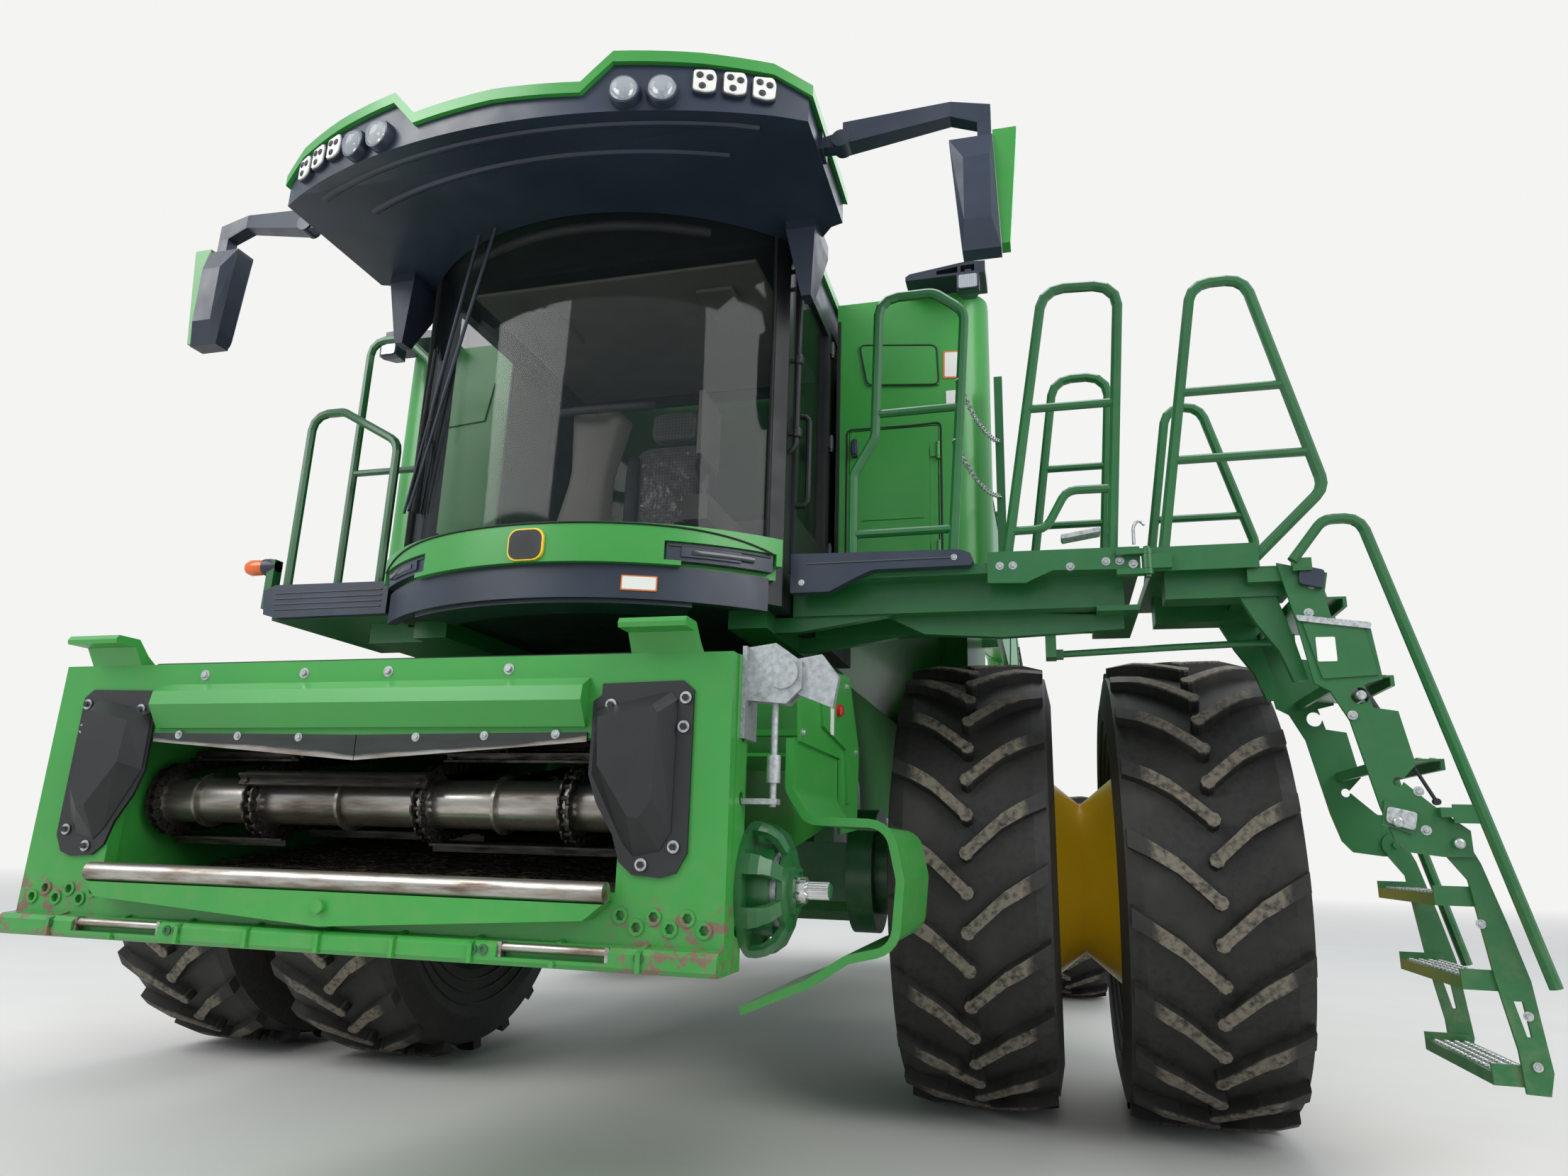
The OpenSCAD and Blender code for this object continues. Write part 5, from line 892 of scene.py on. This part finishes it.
def add_wheel_details():
    """Nuts, hub caps and the raised ribs of the sidewalls."""
    front, rear = (0, 0, FRONT_R), (0, WHEELBASE, REAR_R)
    front_ribs = wall_ribs((INNER_X, OUTER_X), (640, 700, 760), (292, 592), 56 / 230, 9, 7, front, 96)
    rear_ribs = wall_ribs((REAR_X,), (500, 560), (275, 454), 53 / 193, 8, 6, rear, 80)
    front_cap = revolve([(2035, 110), (2062, 108), (2082, 90), (2088, 40), (2089, 1)], front, LEFTWARD, 40)
    rear_cap = revolve([(1925, 92), (1945, 90), (1962, 74), (1968, 30), (1969, 1)], rear, LEFTWARD, 32)
    for side in ("left", "right"):
        for end, name, shape, finish in (
                ("front", "wall_ribs", front_ribs, front_rubber),
                ("front", "wheel_nuts", nut_ring(10, 0.31, 2060, 170, (17, 24), front), plate),
                ("front", "hub_cap", front_cap, yellow),
                ("rear", "wall_ribs", rear_ribs, rear_rubber),
                ("rear", "hub_cap", rear_cap, yellow),
                ("rear", "wheel_nuts", nut_ring(8, 0, 1888, 160, (15, 20), rear), plate)):
            piece(f"{end}_{name}_{side}", sided(shape, side), finish, f"wheel_{end}_{side}")


# Sides, top and rear
def on_shield(y, z, off=0):
    """Places on the left side shield or off it: x = SHIELD_X - R + sqrt((R + off)² - (z - SHIELD_Z)²)."""
    z = np.asarray(z, float)
    bow = np.sqrt((SHIELD_R + off) ** 2 - (z - SHIELD_Z) ** 2) - SHIELD_R
    return np.stack([SHIELD_X + bow, np.asarray(y, float) + 0 * z, z], -1)


def add_side_marks():
    """Seams, vents whose slots are dark strips of painted shade, latches and reflectors of the side shields."""
    y, z = np.linspace(-500, 2690, 60), np.linspace(2270, 3250, 40)
    lines = [sweep(on_shield(at, z, 1), oblong(6, 10, 2), LEFTWARD) for at in (1150, 2690)]
    lines.append(sweep(on_shield(y, 2900 + 0 * y, 1), oblong(6, 8, 2), LEFTWARD))
    # Vents: near-black strips in the slots, painted shade.
    lines += [sweep(on_shield(np.linspace(3150, 4350, 30), np.full(30, at), 2), oblong(10, 22, 4), LEFTWARD)
              for at in np.arange(2420, 2790, 52)]
    pulls = repeat(slab(oblong(130, 40, 16) + (0, 2330), 0, 10, 0),
                   [(on_shield(0, 2330)[0] - 4, at, 0) for at in (400, 2000, 3600)])
    discs = repeat(revolve([(-2, 38), (6, 36), (8, 30), (8, 1)], axis=LEFTWARD, sides=28),
                   [on_shield(at, 2420, -1) for at in (-300, 2900, 5000)])
    for side in ("left", "right"):
        for name, shape, finish, bevel in (("seams", join(*lines), rubber, 0), ("pulls", pulls, black, 4),
                                           ("reflectors", discs, amber, 0)):
            piece(f"shield_{name}_{side}", sided(shape, side), finish, "side_shield_" + side, bevel=bevel)


def add_cooling_screen():
    """Woven wire behind the slats of the cooling inlet, drawn with thick wires, and the stack's cap."""
    wires = [box((-1222, 3108 + 28 * i, 2604), (-1218, 3111 + 28 * i, 3096)) for i in range(49)]
    wires += [box((-1218, 3104, 2616 + 28 * i), (-1214, 4496, 2619 + 28 * i)) for i in range(17)]
    piece("cooling_mesh", wires, chain_steel)
    piece("cooling_core", box((-1212, 3100, 2600), (-1206, 4500, 3100)), casting)
    stack, cleaner = (700, 4300, 0), (-500, 3700, 0)
    lip = revolve([(3630, 80), (3632, 84), (3650, 84), (3650, 74), (3560, 70), (3560, 1)], stack, sides=32)
    piece("exhaust_lip", [lip, hoop(3380, 3404, 79, 88, stack, sides=32)], steel)
    cap = revolve([(3560, 172), (3560, 186), (3600, 186), (3640, 150), (3655, 60), (3656, 1)], cleaner, sides=40)
    slots = [hoop(z, z + 10, 171, 175, cleaner) for z in range(3440, 3550, 22)]
    piece("air_cleaner_cap", [cap, *slots], black)


def add_rear_marks():
    """Tail lamps, blank plate, door seam and grab bar of the rear hood; rings and spout lip of the auger."""
    down, out = unit((0, 300, -560)), unit((0, 560, 300))
    turn = np.stack([LEFTWARD, np.cross(out, LEFTWARD), out], -1)

    def on_hood(x, far, outline, low, high):
        """Plate on the hood's slope, its middle at x and this far down from the upper edge."""
        return repeat(slab(outline, low, high, 2), [np.array((x, 5750, 2760)) + down * far], turn)

    for side, x in (("right", -640), ("left", 640)):
        for i, finish in enumerate((red, amber)):
            piece(f"tail_lamp_{side}_{i}", on_hood(x, 150 + 110 * i, oblong(150, 84, 16), 0, 24), finish, bevel=4)
    beds = [on_hood(x, 205, oblong(190, 240, 20), -4, 10) for x in (-640, 640)]
    piece("tail_lamp_beds", beds, black, bevel=3)
    piece("blank_rear_plate", on_hood(0, 330, oblong(520, 120, 8), -2, 4), white)
    path = [(x, 6052, z) for x, z in ((-780, 2180), (-780, 1660), (780, 1660), (780, 2180))]
    piece("rear_door_seam", sweep(soften(path, 60, 6), oblong(8, 8, 2), REARWARD, closed=True), rubber)
    path = [(-300, 6046, 2000), (-300, 6100, 2000), (300, 6100, 2000), (300, 6046, 2000)]
    piece("rear_grab_bar", sweep(soften(path, 40, 5, closed=False), circle(13, 12)), black_paint)
    x, y, z = AUGER
    rings = [hoop(y + at, y + at + 16, AUGER_R, AUGER_R + 9, (x, 0, z), REARWARD, 48)
             for at in (-96, 1450, 3000, 3030, 4600, 6200)]
    piece("auger_rings", rings, green, "unloading_auger")
    lip = revolve([(z - 418, 141), (z - 418, 146), (z - 300, 154), (z - 300, 150)], (x, y + AUGER_LEN - 400, 0),
                  sides=40, ring=True)
    piece("auger_spout_lip", lip, rubber, "unloading_auger")


# Floor and light
def add_stage():
    """A pale floor that fades into the pale background, and soft studio light from three large lamps."""
    mesh = bpy.data.meshes.new("floor")
    mesh.from_pydata([(-60, -60, 0), (60, -60, 0), (60, 60, 0), (-60, 60, 0)], [], [(0, 1, 2, 3)])
    f = Finish("pale_floor")
    patches = f.node("Mix", f.node("TexNoise", 1.4), "#d9d7d2", "#d2d0cb")
    f.done(Base_Color=patches, Roughness=0.85)
    fade = f.node("MapRange", f.node("VectorMath LENGTH", f.place, out=1), 9, 30)
    matt, pale = f.tree.nodes["Principled BSDF"].outputs[0], f.node("Emission", BACKGROUND, 1.0)
    f.node("", f.node("MixShader", fade, matt, pale), made=f.tree.nodes["Material Output"])
    mesh.materials.append(f.owner)
    floor = placed("floor", mesh)
    world = Finish("studio", "worlds")
    light = world.node("", "#dfe6ee", 0.9, made=world.tree.nodes["Background"])
    seen = world.node("Background", BACKGROUND)
    mix = world.node("MixShader", world.node("LightPath", out="Is Camera Ray"), light, seen)
    world.node("", mix, made=world.tree.nodes["World Output"])
    bpy.context.scene.world = world.owner
    # columns: place, width and watts of each lamp
    for spot, size, watts in (((-7, -11, 9), 7, 900), ((9, -9, 8), 7, 700), ((0, 4, 13), 10, 700)):
        data = bpy.data.lights.new("soft_lamp", "AREA")
        data.size, data.energy = size, watts
        lamp = placed("soft_lamp", data)
        lamp.location = spot
        lamp.rotation_euler = (Vector((0, -1.5, 1.5)) - Vector(spot)).to_track_quat("-Z", "Y").to_euler()


add_camera()
add_stage()
dress_nodes()
add_roof_lamps()
add_brow_creases()
add_wipers()
add_screen_seal()
add_chin()
add_pillar_bar()
add_mirror_glass()
add_seat()
add_driving_place()
add_cab_lining()
add_feeder_chains()
add_crop()
add_feeder_fittings()
add_bulkhead_marks()
add_work_light_lenses()
add_deck_details()
add_ladder_details()
add_wheel_details()
add_side_marks()
add_cooling_screen()
add_rear_marks()
bpy.context.scene.view_settings.view_transform = "Standard"
